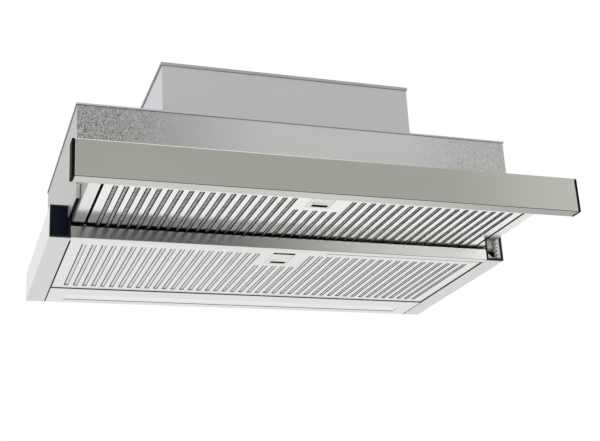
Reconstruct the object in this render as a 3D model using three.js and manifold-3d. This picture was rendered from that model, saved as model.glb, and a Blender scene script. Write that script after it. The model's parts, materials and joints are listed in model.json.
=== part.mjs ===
// Pull-out cooker hood for a 600 mm wall cabinet, with its front tray drawn out.
// Millimetres. +X is to the right seen from the room, +Y runs to the wall and +Z is up.
// The sizes below are heights above the hood's underside and distances from the wall; at the end
// the whole hood is lowered so that its origin is the middle of the rear strip's wall face.
import * as THREE from "three";
import { mergeVertices } from "three/addons/utils/BufferGeometryUtils.js";
import Module from "manifold-3d";

const wasm = await Module();
wasm.setup();

// ---------------------------------------------------------------- sheet and clearances
const BODY_SHEET = 1.0; // galvanised sheet of the upper body and the motor box
const FRAME_SHEET = 1.2; // stainless sheet of the lower frame, the tray and the fascia
const FILTER_SHEET = 0.8; // stainless sheet of the filter pans
const SEAT = 0.3; // gap between two pieces that touch
const PAST = 1; // how far a cutting solid runs past the face it opens
const TRAY_SIDE_GAP = 1.3; // between the tray's arms and the lower frame
const SLIDE_GAP = 0.7; // between nested rails
const FILTER_GAP = 0.6; // round a filter in its frame

// ---------------------------------------------------------------- lower frame
const HOOD_WIDTH = 598;
const BASE_DEPTH = 279; // wall to the front of the black end blocks
const BASE_HEIGHT = 40;
const MEMBER_WIDTH = 24.7;
const MEMBER_LIP = 13; // height of the inner lip beside the fixed filter
const CROSSBAR_HEIGHT = 14.6;
const CROSSBAR_DEPTH = 13.2;
const REAR_STRIP_DEPTH = 66.4;
const REAR_STRIP_LIP = 9;
const FRAME_SCREW_RADIUS = 2.4;

// ---------------------------------------------------------------- rear lamp
const LAMP_FROM_SIDE = 49;
const LAMP_WIDTH = 24;
const LAMP_FROM_WALL = 14;
const LENS_THICKNESS = 2.4;
const LENS_FLANGE = 3;
const LAMP_BOARD_WIDTH = 12;
const LAMP_BOARD_THICKNESS = 1.6;
const LAMP_CHIPS = 16;
const LAMP_CHIP_SIZE = 5;
const LAMP_CHIP_HEIGHT = 1;

// ---------------------------------------------------------------- upper body
const BODY_FROM_SIDE = 19.5; // from the frame's side to the body's
const BODY_DEPTH = 293;
const BODY_TOP = 142;
const BODY_FROM_WALL = 56;
const BODY_HEM = 2; // depth of the folded edge of the body's lid
const BODY_FLANGE = 12;
const SKIRT_DROP = 16.5; // how far a side skirt hangs below the body, beside the tray
const SKIRT_LENGTH = 67;
const SKIRT_FLANGE = 4.6;
const CABINET_HOLE_RADIUS = 2.6;
const KEYHOLE_HEAD_RADIUS = 5;
const KEYHOLE_NECK = 5;
const KEYHOLE_LENGTH = 12;
const KEYHOLE_SPACING = 420;

// ---------------------------------------------------------------- motor box and outlet
const MOTOR_BOX_WIDTH = 338;
const MOTOR_BOX_DEPTH = 238;
const MOTOR_BOX_TOP = 232;
const MOTOR_BOX_FROM_WALL = 64;
const MOTOR_BOX_FOOT = 8;
const MOTOR_BOX_HEM = 4;
const COLLAR_RADIUS = 60;
const COLLAR_WALL = 1.8;
const COLLAR_HEIGHT = 34;
const COLLAR_FLANGE_RADIUS = 72;
const COLLAR_FLANGE_THICKNESS = 2;
const FLAP_LEDGE = 3;
const FLAP_LEDGE_HEIGHT = 8;
const FLAP_THICKNESS = 1.2;
const FLAP_PIN_RADIUS = 1.2;
const FLAP_KNUCKLE_RADIUS = 2.6;
const FLAP_KNUCKLES = 4;

// ---------------------------------------------------------------- blower
const IMPELLER_RADIUS = 62;
const IMPELLER_WIDTH = 110;
const BLADE_INNER_RADIUS = 51;
const BLADES = 24;
const BLADE_THICKNESS = 1.2;
const BLADE_SWEEP = 0.16; // radians that a blade leans forward from root to tip
const IMPELLER_RING = 3;
const IMPELLER_RING_SEGMENTS = 32;
const HUB_DISC = 2.4;
const HUB_RADIUS = 9;
const HUB_LENGTH = 22;
const SHAFT_RADIUS = 4;
const SCROLL_START_RADIUS = 68;
const SCROLL_END_RADIUS = 95;
const SCROLL_TONGUE_ANGLE = 70; // degrees up from the wall side
const SCROLL_WIDTH = 124;
const SCROLL_WALL = 1.6;
const SCROLL_FLANGE_MARGIN = 2; // of the scroll's flange round the collar
const SCROLL_TO_MOTOR_BOX = 30; // from the scroll's wall side to the back of the motor box
const BLOWER_AXLE_HEIGHT = 134;
const INLET_RADIUS = 54;
const MOTOR_RADIUS = 38;
const MOTOR_LENGTH = 84;
const MOTOR_CAP_LENGTH = 16;
const MOTOR_CAP_RADIUS = 30;
const BRACKET_RING = 5;
const BRACKET_REACH = 64;
const BRACKET_ARM_WIDTH = 12;
const BRACKET_THICKNESS = 3;
const CAPACITOR_RADIUS = 15;
const CAPACITOR_LENGTH = 44;
const TERMINAL_BOX = { width: 84, depth: 34, height: 52, wall: 2 };
const GLAND_RADIUS = 8;
const GLAND_HEIGHT = 12;
const GLAND_BORE = 4;

// ---------------------------------------------------------------- end blocks
const CAP_THICKNESS = 2.6;
const CAP_RIM = 2;
const END_FRAME_BAR = 2.6; // width of the bars of the right block's open frame
const PANEL_THICKNESS = 1.5;
const PLUG_DEPTH = 13;
const PLUG_WALL = 1.5;
const BOARD_THICKNESS = 1.6;
const GUIDE_TEETH = 6;
const GUIDE_TOOTH = 2.6;
const GUIDE_WALL = 3;
const REED_SIZE = { width: 5, length: 16, height: 4 };
const MAGNET_SIZE = { width: 4, length: 12, height: 5 };

// ---------------------------------------------------------------- tray and fascia
const TRAY_TRAVEL = 103;
const CLOSED_GAP = 1; // fascia to body when the tray is shut
const TRAY_UNDERSIDE = 17.4;
const TRAY_HEIGHT = 21;
const TRAY_EDGE_HEIGHT = 9;
const ARM_WIDTH = 15;
const TRAY_REAR_BAR_DEPTH = 14;
const TRAY_COVER_DEPTH = 150;
const TRAY_COVER_SHEET = 0.8;
const FASCIA_HEIGHT = 42;
const FASCIA_DEPTH = 17.6;
const FASCIA_RETURN = 9;
const FASCIA_CAP = 3;
const FASCIA_CAP_PLUG = 6;

// ---------------------------------------------------------------- telescopic slides
const RAIL_SHEET = 1.2;
const RAIL_HEIGHT = 19.5;
const RAIL_DEPTH = 13;
const RAIL_FROM_CEILING = 1.3;
const MIDDLE_RAIL_LENGTH = 190;
const CARRIAGE_LENGTH = 150;
const RAIL_REAR_GAP = 5;
const CARRIAGE_POCKETS = 7;
const CARRIAGE_POCKET_DEPTH = 6;

// ---------------------------------------------------------------- filters
const SLOT_WIDTH = 6;
const SLOT_CORNER = 1;
const SHORT_SLOTS = 5; // slots cut short beside the latch
const FILTER_EDGE_HEIGHT = 9;
const FILTER_LIFT = 1; // filter face above the frame's underside
const FIXED_SLOTS = 43;
const FIXED_SLOT_MARGIN = 12; // from the filter's front and back edges
const FIXED_SLOT_FROM_SIDE = 17.5; // from the filter's side to the first slot's middle
const TRAY_SLOTS = 41;
const TRAY_SLOT_MARGIN = 12;
const TRAY_SLOT_FROM_SIDE = 13.2;
const TRAY_FRONT_BAR_DEPTH = 32.1;
const TRAY_FILTER_SIDE_GAP = 1.8;
const TRAY_FILTER_OVERLAP = 20; // how far the tray's filter still reaches behind the end blocks' front
const FIXED_SHORT_SLOT_START = 60; // from a filter's front edge to its short slots
const TRAY_SHORT_SLOT_START = 48;
const MESH_PITCH = 9;
const MESH_SHEET = 0.6;
const MESH_HEIGHT = 4.4;
const BACK_BAR = 9;
const BACK_COLUMNS = 9;
const BACK_ROWS = 3;
const PIVOT_FROM_REAR = 8;
const PIVOT_HEIGHT = 3.4;
const PIVOT_RADIUS = 1.5;
const PIVOT_CLEARANCE = 0.4;
const PIVOT_REACH = 3.4;

// ---------------------------------------------------------------- filter latches
const LATCH_WIDTH = 29;
const LATCH_OFFSET = -2.5; // the latches sit a little left of the middle
const LATCH_TRAVEL = 6.5;
const FIXED_LATCH = { margin: 5.9, length: 37 };
const TRAY_LATCH = { margin: 3.5, length: 27 };
const LATCH_FINGER_WIDTH = 20;
const LATCH_FINGER_DEPTH = 6.8;
const LATCH_FINGER_OFFSET = 1.8; // the finger hole sits a little right of the latch's middle
const LATCH_FINGER_RIM = 2; // behind the finger hole
const LATCH_GUIDE = 2.4;
const LATCH_GUIDE_FROM_END = 6;
const LATCH_GRIP_WIDTH = 21;
const LATCH_GRIP_DEPTH = 0.9;
const LATCH_GRIP_MARGIN = { front: 5, back: 3 }; // to the latch's front and to the finger hole
const LATCH_TONGUE_WIDTH = 14;
const LATCH_TONGUE_THICKNESS = 1.4;

// ---------------------------------------------------------------- places worked out from the sizes
const halfHood = HOOD_WIDTH / 2;
const halfBody = halfHood - BODY_FROM_SIDE;
const halfLamp = halfHood - LAMP_FROM_SIDE;
const halfMotorBox = MOTOR_BOX_WIDTH / 2;
const baseFront = -BASE_DEPTH;
const bodyBack = -BODY_FROM_WALL;
const bodyFront = bodyBack - BODY_DEPTH;
const bodyUnderside = BASE_HEIGHT + SEAT;
const motorBoxBack = -MOTOR_BOX_FROM_WALL;
const motorBoxFront = motorBoxBack - MOTOR_BOX_DEPTH;
const memberInner = halfHood - MEMBER_WIDTH;
const memberFront = baseFront + CAP_THICKNESS;
const armOuter = memberInner - TRAY_SIDE_GAP;
const armInner = armOuter - ARM_WIDTH;
const trayTop = TRAY_UNDERSIDE + TRAY_HEIGHT;
const fasciaBack = bodyFront - CLOSED_GAP - TRAY_TRAVEL;
const fasciaFront = fasciaBack - FASCIA_DEPTH;
const trayFront = fasciaBack + SEAT;
const railFront = baseFront + CAP_THICKNESS + PLUG_DEPTH + SLIDE_GAP;
const carriageBack = railFront + CARRIAGE_LENGTH;
const axle = {
  y: motorBoxBack - SCROLL_TO_MOTOR_BOX - SCROLL_END_RADIUS,
  z: BLOWER_AXLE_HEIGHT,
};
const tongueAngle = THREE.MathUtils.degToRad(SCROLL_TONGUE_ANGLE);
const throatFront = axle.y + SCROLL_START_RADIUS * Math.cos(tongueAngle);
const throatBack = axle.y + SCROLL_END_RADIUS;
const collarY = (throatFront + throatBack) / 2;
const collarBase = MOTOR_BOX_TOP + SEAT;
const collarTop = MOTOR_BOX_TOP + COLLAR_HEIGHT;
const flapHeight = collarBase + FLAP_LEDGE_HEIGHT + FLAP_LEDGE + SEAT + FLAP_THICKNESS / 2;

// ---------------------------------------------------------------- finishes
const finishes = {
  galvanised: { color: 0xa9aca8, roughness: 0.45, metalness: 0.8 },
  brushedSteel: { color: 0xa6a69c, roughness: 0.35, metalness: 0.9 },
  filterSteel: { color: 0xc9cbc8, roughness: 0.3, metalness: 0.9 },
  zincPlated: { color: 0xb9bcbe, roughness: 0.35, metalness: 0.85 },
  aluminiumMesh: { color: 0x8b8d8c, roughness: 0.5, metalness: 0.8 },
  blackPlastic: { color: 0x141517, roughness: 0.4, metalness: 0 },
  gloss: { color: 0x0c1220, roughness: 0.08, metalness: 0 },
  greyPlastic: { color: 0x4c4f52, roughness: 0.55, metalness: 0 },
  whitePlastic: { color: 0xe4e5e2, roughness: 0.45, metalness: 0 },
  lens: { color: 0xeef0ee, roughness: 0.3, metalness: 0 },
  board: { color: 0x1e5638, roughness: 0.5, metalness: 0 },
  motorSteel: { color: 0x6f7274, roughness: 0.45, metalness: 0.8 },
};

// ---------------------------------------------------------------- geometry helpers

// A closed geometry as a solid that can be joined and cut.
function solidOf(geometry) {
  const bare = geometry.clone();
  bare.deleteAttribute("normal");
  bare.deleteAttribute("uv");
  const merged = mergeVertices(bare, 1e-4);
  return new wasm.Manifold(
    new wasm.Mesh({
      numProp: 3,
      vertProperties: new Float32Array(merged.attributes.position.array),
      triVerts: new Uint32Array(merged.index.array),
    }),
  );
}

function geometryOf(solid) {
  const mesh = solid.getMesh();
  const geometry = new THREE.BufferGeometry();
  geometry.setAttribute("position", new THREE.BufferAttribute(mesh.vertProperties, 3));
  geometry.setIndex(new THREE.BufferAttribute(mesh.triVerts, 1));
  geometry.computeVertexNormals();
  return geometry;
}

function join(...geometries) {
  return geometryOf(geometries.map(solidOf).reduce((whole, piece) => whole.add(piece)));
}

function cut(geometry, ...tools) {
  return geometryOf(tools.map(solidOf).reduce((whole, tool) => whole.subtract(tool), solidOf(geometry)));
}

// A box between two X, two Y and two Z values, each pair in either order.
function box(x, y, z) {
  const span = ([a, b]) => Math.abs(b - a);
  const middle = ([a, b]) => (a + b) / 2;
  return new THREE.BoxGeometry(span(x), span(y), span(z)).translate(middle(x), middle(y), middle(z));
}

function outline(points) {
  return new THREE.Shape(points.map(([a, b]) => new THREE.Vector2(a, b)));
}

function extrude(shape, depth, curveSegments = 12) {
  return new THREE.ExtrudeGeometry(shape, { depth, bevelEnabled: false, curveSegments });
}

// A plan shape (x, y) raised from one height to another.
function raise(shape, from, to) {
  return extrude(shape, to - from).translate(0, 0, from);
}

// A side profile (y, z) drawn out along X.
function alongX(shape, from, to, curveSegments = 12) {
  const basis = new THREE.Matrix4().makeBasis(
    new THREE.Vector3(0, 1, 0),
    new THREE.Vector3(0, 0, 1),
    new THREE.Vector3(1, 0, 0),
  );
  return extrude(shape, to - from, curveSegments).applyMatrix4(basis).translate(from, 0, 0);
}

// A front profile (x, z) drawn out along Y.
function alongY(shape, from, to) {
  const basis = new THREE.Matrix4().makeBasis(
    new THREE.Vector3(1, 0, 0),
    new THREE.Vector3(0, 0, 1),
    new THREE.Vector3(0, -1, 0),
  );
  return extrude(shape, to - from).applyMatrix4(basis).translate(0, to, 0);
}

// A round bar along one axis, with its start and end on that axis and its centre across it.
function bar(axis, radius, [from, to], centre, sides = 16) {
  const geometry = new THREE.CylinderGeometry(radius, radius, to - from, sides);
  const middle = (from + to) / 2;
  if (axis === "x") return geometry.rotateZ(-Math.PI / 2).translate(middle, centre[0], centre[1]);
  if (axis === "y") return geometry.translate(centre[0], middle, centre[1]);
  return geometry.rotateX(Math.PI / 2).translate(centre[0], centre[1], middle);
}

// A turned ring round a vertical axis, from a profile of (radius, height) points.
function turn(profile, x, y, segments = 48) {
  const closed = [...profile, profile[0]].map(([r, h]) => new THREE.Vector2(r, h));
  return new THREE.LatheGeometry(closed, segments).rotateX(Math.PI / 2).translate(x, y, 0);
}

function circleHole(shape, x, y, radius) {
  shape.holes.push(new THREE.Path().absarc(x, y, radius, 0, Math.PI * 2, true));
}

// A slot with eased corners, running along Y.
function slotPath(x, yFrom, yTo) {
  const half = SLOT_WIDTH / 2;
  const eased = half - SLOT_CORNER;
  const points = [
    [-half, yFrom + SLOT_CORNER],
    [-eased, yFrom],
    [eased, yFrom],
    [half, yFrom + SLOT_CORNER],
    [half, yTo - SLOT_CORNER],
    [eased, yTo],
    [-eased, yTo],
    [-half, yTo - SLOT_CORNER],
  ];
  return outline(points.map(([offset, y]) => [x + offset, y]));
}

// The same profile mirrored to the other side of the hood.
function mirror(points, side) {
  return points.map(([x, v]) => [x * side, v]);
}

// A sheet channel: a run of points thickened to one side, with square folds.
function folded(points, thickness) {
  const offset = points.map(([a, b], i) => {
    const before = points[Math.max(i - 1, 0)];
    const after = points[Math.min(i + 1, points.length - 1)];
    const normals = [
      [before, [a, b]],
      [[a, b], after],
    ]
      .filter(([p, q]) => p[0] !== q[0] || p[1] !== q[1])
      .map(([p, q]) => [Math.sign(p[1] - q[1]), Math.sign(q[0] - p[0])]);
    const shift = normals.reduce((s, n) => [s[0] || n[0], s[1] || n[1]], [0, 0]);
    return [a + shift[0] * thickness, b + shift[1] * thickness];
  });
  return outline([...points, ...offset.reverse()]);
}

const hood = new THREE.Group();
hood.name = "pull_out_hood";

// Adds a named piece with its finish to a group.
function addPiece(group, name, geometry, finish) {
  const mesh = new THREE.Mesh(geometry, new THREE.MeshStandardMaterial(finishes[finish]));
  mesh.name = name;
  group.add(mesh);
  return mesh;
}

function addGroup(name) {
  const group = new THREE.Group();
  group.name = name;
  hood.add(group);
  return group;
}

// ---------------------------------------------------------------- upper body

// A lid with a folded edge all round, and an opening in its top.
function hemmedLid(halfWidth, front, back, top, depth, opening) {
  const plate = outline([
    [-halfWidth, front],
    [halfWidth, front],
    [halfWidth, back],
    [-halfWidth, back],
  ]);
  opening(plate);
  const hem = outline([
    [-halfWidth, front],
    [halfWidth, front],
    [halfWidth, back],
    [-halfWidth, back],
  ]);
  hem.holes.push(
    outline([
      [-halfWidth + BODY_SHEET, front + BODY_SHEET],
      [-halfWidth + BODY_SHEET, back - BODY_SHEET],
      [halfWidth - BODY_SHEET, back - BODY_SHEET],
      [halfWidth - BODY_SHEET, front + BODY_SHEET],
    ]),
  );
  return join(raise(plate, top - BODY_SHEET, top), raise(hem, top - depth, top - BODY_SHEET / 2));
}

function sidePanel(side) {
  const outer = halfBody - BODY_SHEET - SEAT;
  const front = bodyFront + 2 * BODY_SHEET + 2 * SEAT;
  const back = bodyBack - 2 * BODY_SHEET - 2 * SEAT;
  const skirtFront = bodyFront + BODY_SHEET + SEAT;
  const skirtFoot = bodyUnderside - SKIRT_DROP;
  const top = BODY_TOP - BODY_SHEET - SEAT;
  const plate = outline([
    [skirtFront, skirtFoot],
    [skirtFront + SKIRT_LENGTH, skirtFoot],
    [skirtFront + SKIRT_LENGTH, bodyUnderside],
    [back, bodyUnderside],
    [back, top],
    [front, top],
    [front, bodyUnderside],
    [skirtFront, bodyUnderside],
  ]);
  const holeRows = [BODY_FLANGE * 2, BODY_DEPTH - BODY_FLANGE * 2];
  const holeHeight = bodyUnderside + BODY_FLANGE * 2;
  holeRows.forEach((y) => circleHole(plate, bodyFront + y, holeHeight, CABINET_HOLE_RADIUS));
  const wall = alongX(plate, outer - BODY_SHEET, outer);
  const foldInner = outer - SKIRT_FLANGE;
  const fold = box([foldInner, outer], [skirtFront, skirtFront + BODY_SHEET], [skirtFoot, bodyUnderside]);
  const topFold = box([outer - BODY_FLANGE, outer], [front, back], [top - BODY_SHEET, top]);
  const panel = join(wall, fold, topFold);
  return side > 0 ? panel : geometryOf(solidOf(panel).mirror([1, 0, 0]));
}

function frontPanel() {
  const outer = halfBody - BODY_SHEET - SEAT;
  const face = bodyFront + BODY_SHEET + SEAT;
  const top = BODY_TOP - BODY_SHEET - SEAT;
  const foot = bodyUnderside + SEAT;
  const profile = folded(
    [
      [face + BODY_FLANGE, foot],
      [face, foot],
      [face, top],
    ],
    -BODY_SHEET,
  );
  const clear = [face + BODY_SHEET, face + BODY_FLANGE + PAST];
  const notches = [-1, 1].map((side) =>
    box([side * (outer + PAST), side * (outer - BODY_SHEET - SEAT)], clear, [foot - PAST, top]),
  );
  return cut(alongX(profile, -outer, outer), ...notches);
}

// The back panel, with two keyholes that hang on wall screws.
function backPanel() {
  const outer = halfBody - BODY_SHEET - SEAT;
  const face = bodyBack - BODY_SHEET - SEAT;
  const top = BODY_TOP - BODY_SHEET - SEAT;
  const foot = bodyUnderside;
  const keyholeHeight = (foot + top) / 2;
  const panel = box([-outer, outer], [face - BODY_SHEET, face], [foot, top]);
  const tools = [-1, 1].flatMap((side) => {
    const x = (side * KEYHOLE_SPACING) / 2;
    const reach = [face - 2 * BODY_SHEET, face + BODY_SHEET];
    const neck = [x - KEYHOLE_NECK / 2, x + KEYHOLE_NECK / 2];
    return [
      bar("y", KEYHOLE_HEAD_RADIUS, reach, [x, keyholeHeight]),
      box(neck, reach, [keyholeHeight, keyholeHeight + KEYHOLE_LENGTH]),
    ];
  });
  return cut(panel, ...tools);
}

const terminalBoxX = halfBody - 2 * BODY_FLANGE - TERMINAL_BOX.width;
const glandY = bodyBack - BODY_FLANGE - TERMINAL_BOX.depth / 2;
const glandX = terminalBoxX + TERMINAL_BOX.width / 2;

function addBody() {
  const group = addGroup("upper_body");
  addPiece(group, "front_panel", frontPanel(), "galvanised");
  addPiece(group, "left_side_panel", sidePanel(-1), "galvanised");
  addPiece(group, "right_side_panel", sidePanel(1), "galvanised");
  addPiece(group, "back_panel", backPanel(), "galvanised");
  const lid = hemmedLid(halfBody, bodyFront, bodyBack, BODY_TOP, BODY_HEM, (plate) => {
    const inset = MOTOR_BOX_FOOT + BODY_SHEET;
    plate.holes.push(
      outline([
        [-halfMotorBox + inset, motorBoxFront + inset],
        [-halfMotorBox + inset, motorBoxBack - inset],
        [halfMotorBox - inset, motorBoxBack - inset],
        [halfMotorBox - inset, motorBoxFront + inset],
      ]),
    );
    circleHole(plate, glandX, glandY, GLAND_BORE + BODY_SHEET);
  });
  addPiece(group, "top_panel", lid, "galvanised");
}

// ---------------------------------------------------------------- motor box

// Front and sides in one folded sheet, with a foot turned inwards all along.
function motorBoxWrap() {
  const outer = halfMotorBox - BODY_SHEET - SEAT;
  const front = motorBoxFront + BODY_SHEET + SEAT;
  const back = motorBoxBack - 2 * BODY_SHEET - 2 * SEAT;
  const band = (depth) => {
    const run = [
      [-outer, back],
      [-outer, front],
      [outer, front],
      [outer, back],
      [outer - depth, back],
      [outer - depth, front + depth],
      [-outer + depth, front + depth],
      [-outer + depth, back],
    ];
    return outline(run);
  };
  const foot = BODY_TOP + SEAT;
  const top = MOTOR_BOX_TOP - BODY_SHEET - SEAT;
  return join(raise(band(BODY_SHEET), foot, top), raise(band(MOTOR_BOX_FOOT), foot, foot + BODY_SHEET));
}

function motorBoxBackPanel() {
  const outer = halfMotorBox - BODY_SHEET - SEAT;
  const face = motorBoxBack - BODY_SHEET - SEAT;
  const foot = BODY_TOP + SEAT;
  const top = MOTOR_BOX_TOP - BODY_SHEET - SEAT;
  return box([-outer, outer], [face - BODY_SHEET, face], [foot, top]);
}

function addMotorBox() {
  const group = addGroup("motor_box");
  addPiece(group, "motor_box_wrap", motorBoxWrap(), "galvanised");
  addPiece(group, "motor_box_back", motorBoxBackPanel(), "galvanised");
  const lid = hemmedLid(halfMotorBox, motorBoxFront, motorBoxBack, MOTOR_BOX_TOP, MOTOR_BOX_HEM, (plate) => {
    circleHole(plate, 0, collarY, COLLAR_RADIUS - COLLAR_WALL);
  });
  addPiece(group, "motor_box_lid", lid, "galvanised");
}

// ---------------------------------------------------------------- outlet collar and its flaps

function outletCollar() {
  const bore = COLLAR_RADIUS - COLLAR_WALL;
  const ledgeFoot = collarBase + FLAP_LEDGE_HEIGHT;
  const ring = turn(
    [
      [bore, collarBase],
      [COLLAR_FLANGE_RADIUS, collarBase],
      [COLLAR_FLANGE_RADIUS, collarBase + COLLAR_FLANGE_THICKNESS],
      [COLLAR_RADIUS, collarBase + COLLAR_FLANGE_THICKNESS],
      [COLLAR_RADIUS, collarTop],
      [bore, collarTop],
      [bore, ledgeFoot + FLAP_LEDGE],
      [bore - FLAP_LEDGE, ledgeFoot + FLAP_LEDGE],
      [bore - FLAP_LEDGE, ledgeFoot + FLAP_LEDGE / 2],
      [bore, ledgeFoot - FLAP_LEDGE / 2],
    ],
    0,
    collarY,
  );
  const reach = [collarY - COLLAR_RADIUS - PAST, collarY + COLLAR_RADIUS + PAST];
  const pinHole = bar("y", FLAP_PIN_RADIUS + SEAT, reach, [0, flapHeight]);
  return cut(ring, pinHole);
}

// Half a disc on the pin, with every second knuckle of the row.
function collarFlap(side) {
  const reach = COLLAR_RADIUS - COLLAR_WALL - SEAT * 3;
  const hinge = FLAP_KNUCKLE_RADIUS + SEAT;
  const start = Math.acos(hinge / reach);
  const half = new THREE.Shape().absarc(0, collarY, reach, -start, start, false);
  const plate = raise(half, flapHeight - FLAP_THICKNESS / 2, flapHeight + FLAP_THICKNESS / 2);
  const row = 2 * (reach - 2 * FLAP_KNUCKLE_RADIUS);
  const pitch = row / FLAP_KNUCKLES;
  const knuckles = Array.from({ length: FLAP_KNUCKLES }, (_, i) => collarY - row / 2 + pitch * i)
    .filter((_, i) => (i % 2 === 0) === side > 0)
    .flatMap((from) => {
      const run = [from + SEAT, from + pitch - SEAT];
      const leaf = [flapHeight - FLAP_THICKNESS / 2, flapHeight + FLAP_THICKNESS / 2];
      return [bar("y", FLAP_KNUCKLE_RADIUS, run, [0, flapHeight], 12), box([0, hinge + PAST], run, leaf)];
    });
  const pinHole = bar("y", FLAP_PIN_RADIUS + SEAT, [collarY - reach, collarY + reach], [0, flapHeight], 12);
  const flap = cut(join(plate, ...knuckles), pinHole);
  return side > 0 ? flap : geometryOf(solidOf(flap).mirror([1, 0, 0]));
}

function addOutlet() {
  const group = addGroup("outlet");
  addPiece(group, "outlet_collar", outletCollar(), "blackPlastic");
  addPiece(group, "right_flap", collarFlap(1), "greyPlastic");
  addPiece(group, "left_flap", collarFlap(-1), "greyPlastic");
  const pinRun = [collarY - COLLAR_RADIUS, collarY + COLLAR_RADIUS];
  addPiece(group, "flap_pin", bar("y", FLAP_PIN_RADIUS, pinRun, [0, flapHeight], 12), "zincPlated");
}

// ---------------------------------------------------------------- blower

// The spiral's radius grows steadily from the tongue, over the front and under, to the wall side.
function scrollRadius(angle) {
  const share = (angle - tongueAngle) / (2 * Math.PI - tongueAngle);
  return SCROLL_START_RADIUS + (SCROLL_END_RADIUS - SCROLL_START_RADIUS) * share;
}

function spiralPoints(offset) {
  const steps = 30;
  return Array.from({ length: steps + 1 }, (_, i) => {
    const angle = tongueAngle + ((2 * Math.PI - tongueAngle) * i) / steps;
    const r = scrollRadius(angle) + offset;
    return [axle.y + r * Math.cos(angle), axle.z + r * Math.sin(angle)];
  });
}

function scrollHousing() {
  const top = MOTOR_BOX_TOP - BODY_SHEET - SEAT;
  const halfWidth = SCROLL_WIDTH / 2;
  const inner = spiralPoints(0);
  const outer = spiralPoints(SCROLL_WALL);
  const outletOuter = [
    [throatBack + SCROLL_WALL, top],
    [throatFront - SCROLL_WALL, top],
  ];
  const filled = outline([...outer, ...outletOuter]);
  const hollow = outline([...inner, [throatBack, top + PAST], [throatFront, top + PAST]]);
  const cavity = alongX(hollow, -halfWidth + SCROLL_WALL, halfWidth - SCROLL_WALL);
  const shell = cut(alongX(filled, -halfWidth, halfWidth), cavity);
  const inlets = bar("x", INLET_RADIUS, [-halfWidth - PAST, halfWidth + PAST], [axle.y, axle.z], 40);
  const reach = COLLAR_RADIUS + SCROLL_FLANGE_MARGIN;
  const flange = box(
    [-halfWidth - MOTOR_BOX_FOOT, halfWidth + MOTOR_BOX_FOOT],
    [collarY - reach, collarY + reach],
    [top - 2 * SCROLL_WALL, top],
  );
  const throat = box(
    [-halfWidth + SCROLL_WALL, halfWidth - SCROLL_WALL],
    [throatFront, throatBack],
    [top - 3 * SCROLL_WALL, top + PAST],
  );
  return cut(join(shell, flange), inlets, throat);
}

// A drum of forward-curved blades between two rings and a middle disc.
function impeller() {
  const half = IMPELLER_WIDTH / 2;
  const ring = (from, to) => {
    const shape = new THREE.Shape().absarc(axle.y, axle.z, IMPELLER_RADIUS, 0, Math.PI * 2, false);
    circleHole(shape, axle.y, axle.z, BLADE_INNER_RADIUS);
    return alongX(shape, from, to, IMPELLER_RING_SEGMENTS);
  };
  const disc = bar("x", IMPELLER_RADIUS, [-HUB_DISC / 2, HUB_DISC / 2], [axle.y, axle.z], 64);
  const hub = bar("x", HUB_RADIUS, [-HUB_LENGTH / 2, HUB_LENGTH / 2], [axle.y, axle.z], 20);
  const depth = IMPELLER_RADIUS - BLADE_INNER_RADIUS - 1;
  const blades = Array.from({ length: BLADES }, (_, i) => {
    const steps = 2;
    const edge = (offset) =>
      Array.from({ length: steps + 1 }, (_, k) => {
        const share = k / steps;
        const r = BLADE_INNER_RADIUS + 0.5 + depth * share;
        const angle = (i * 2 * Math.PI) / BLADES + BLADE_SWEEP * share * share;
        const lean = offset / r;
        return [axle.y + r * Math.cos(angle + lean), axle.z + r * Math.sin(angle + lean)];
      });
    const shape = outline([...edge(0), ...edge(BLADE_THICKNESS).reverse()]);
    return alongX(shape, -half + IMPELLER_RING / 2, half - IMPELLER_RING / 2);
  });
  const bore = bar("x", SHAFT_RADIUS + SEAT, [-HUB_LENGTH, HUB_LENGTH], [axle.y, axle.z], 20);
  const rings = [ring(-half, -half + IMPELLER_RING), ring(half - IMPELLER_RING, half)];
  return cut(join(disc, hub, ...rings, ...blades), bore);
}

const motorEnd = -HUB_LENGTH / 2 - SEAT * 2;
const motorStart = motorEnd - MOTOR_LENGTH;

function motor() {
  const centre = [axle.y, axle.z];
  const stackRun = [motorStart + MOTOR_CAP_LENGTH, motorEnd - MOTOR_CAP_LENGTH];
  const stack = bar("x", MOTOR_RADIUS, stackRun, centre, 28);
  const caps = bar("x", MOTOR_CAP_RADIUS, [motorStart, motorEnd], centre, 24);
  const bore = bar("x", SHAFT_RADIUS + SEAT, [motorStart - PAST, motorEnd + PAST], centre, 20);
  return cut(join(stack, caps), bore);
}

// A ring round the motor, with three arms that reach out to the scroll's side.
function motorBracket() {
  const face = -SCROLL_WIDTH / 2 - SEAT;
  const centre = [axle.y, axle.z];
  const run = [face - BRACKET_THICKNESS, face];
  const ring = bar("x", MOTOR_RADIUS + BRACKET_RING, run, centre, 32);
  const arms = [90, 210, 330].map((degrees) => {
    const arm = box(run, [0, BRACKET_REACH], [-BRACKET_ARM_WIDTH / 2, BRACKET_ARM_WIDTH / 2]);
    return arm.rotateX(THREE.MathUtils.degToRad(degrees)).translate(0, axle.y, axle.z);
  });
  const bore = bar("x", MOTOR_RADIUS + SEAT, [face - 2 * BRACKET_THICKNESS, face + PAST], centre, 28);
  return cut(join(ring, ...arms), bore);
}

// An open box for the mains terminals, standing on the back panel's inner face.
function terminalBox() {
  const { width, depth, height, wall } = TERMINAL_BOX;
  const back = bodyBack - 2 * BODY_SHEET - 2 * SEAT;
  const top = BODY_TOP - BODY_SHEET - SEAT;
  const x = [terminalBoxX, terminalBoxX + width];
  const shell = box(x, [back - depth, back], [top - height, top]);
  const inside = [top - height + wall, top - wall];
  const hollow = box([x[0] + wall, x[1] - wall], [back - depth - PAST, back - wall], inside);
  const cableHole = bar("z", GLAND_BORE, [top - 2 * wall, top + PAST], [glandX, glandY]);
  return cut(shell, hollow, cableHole);
}

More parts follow.
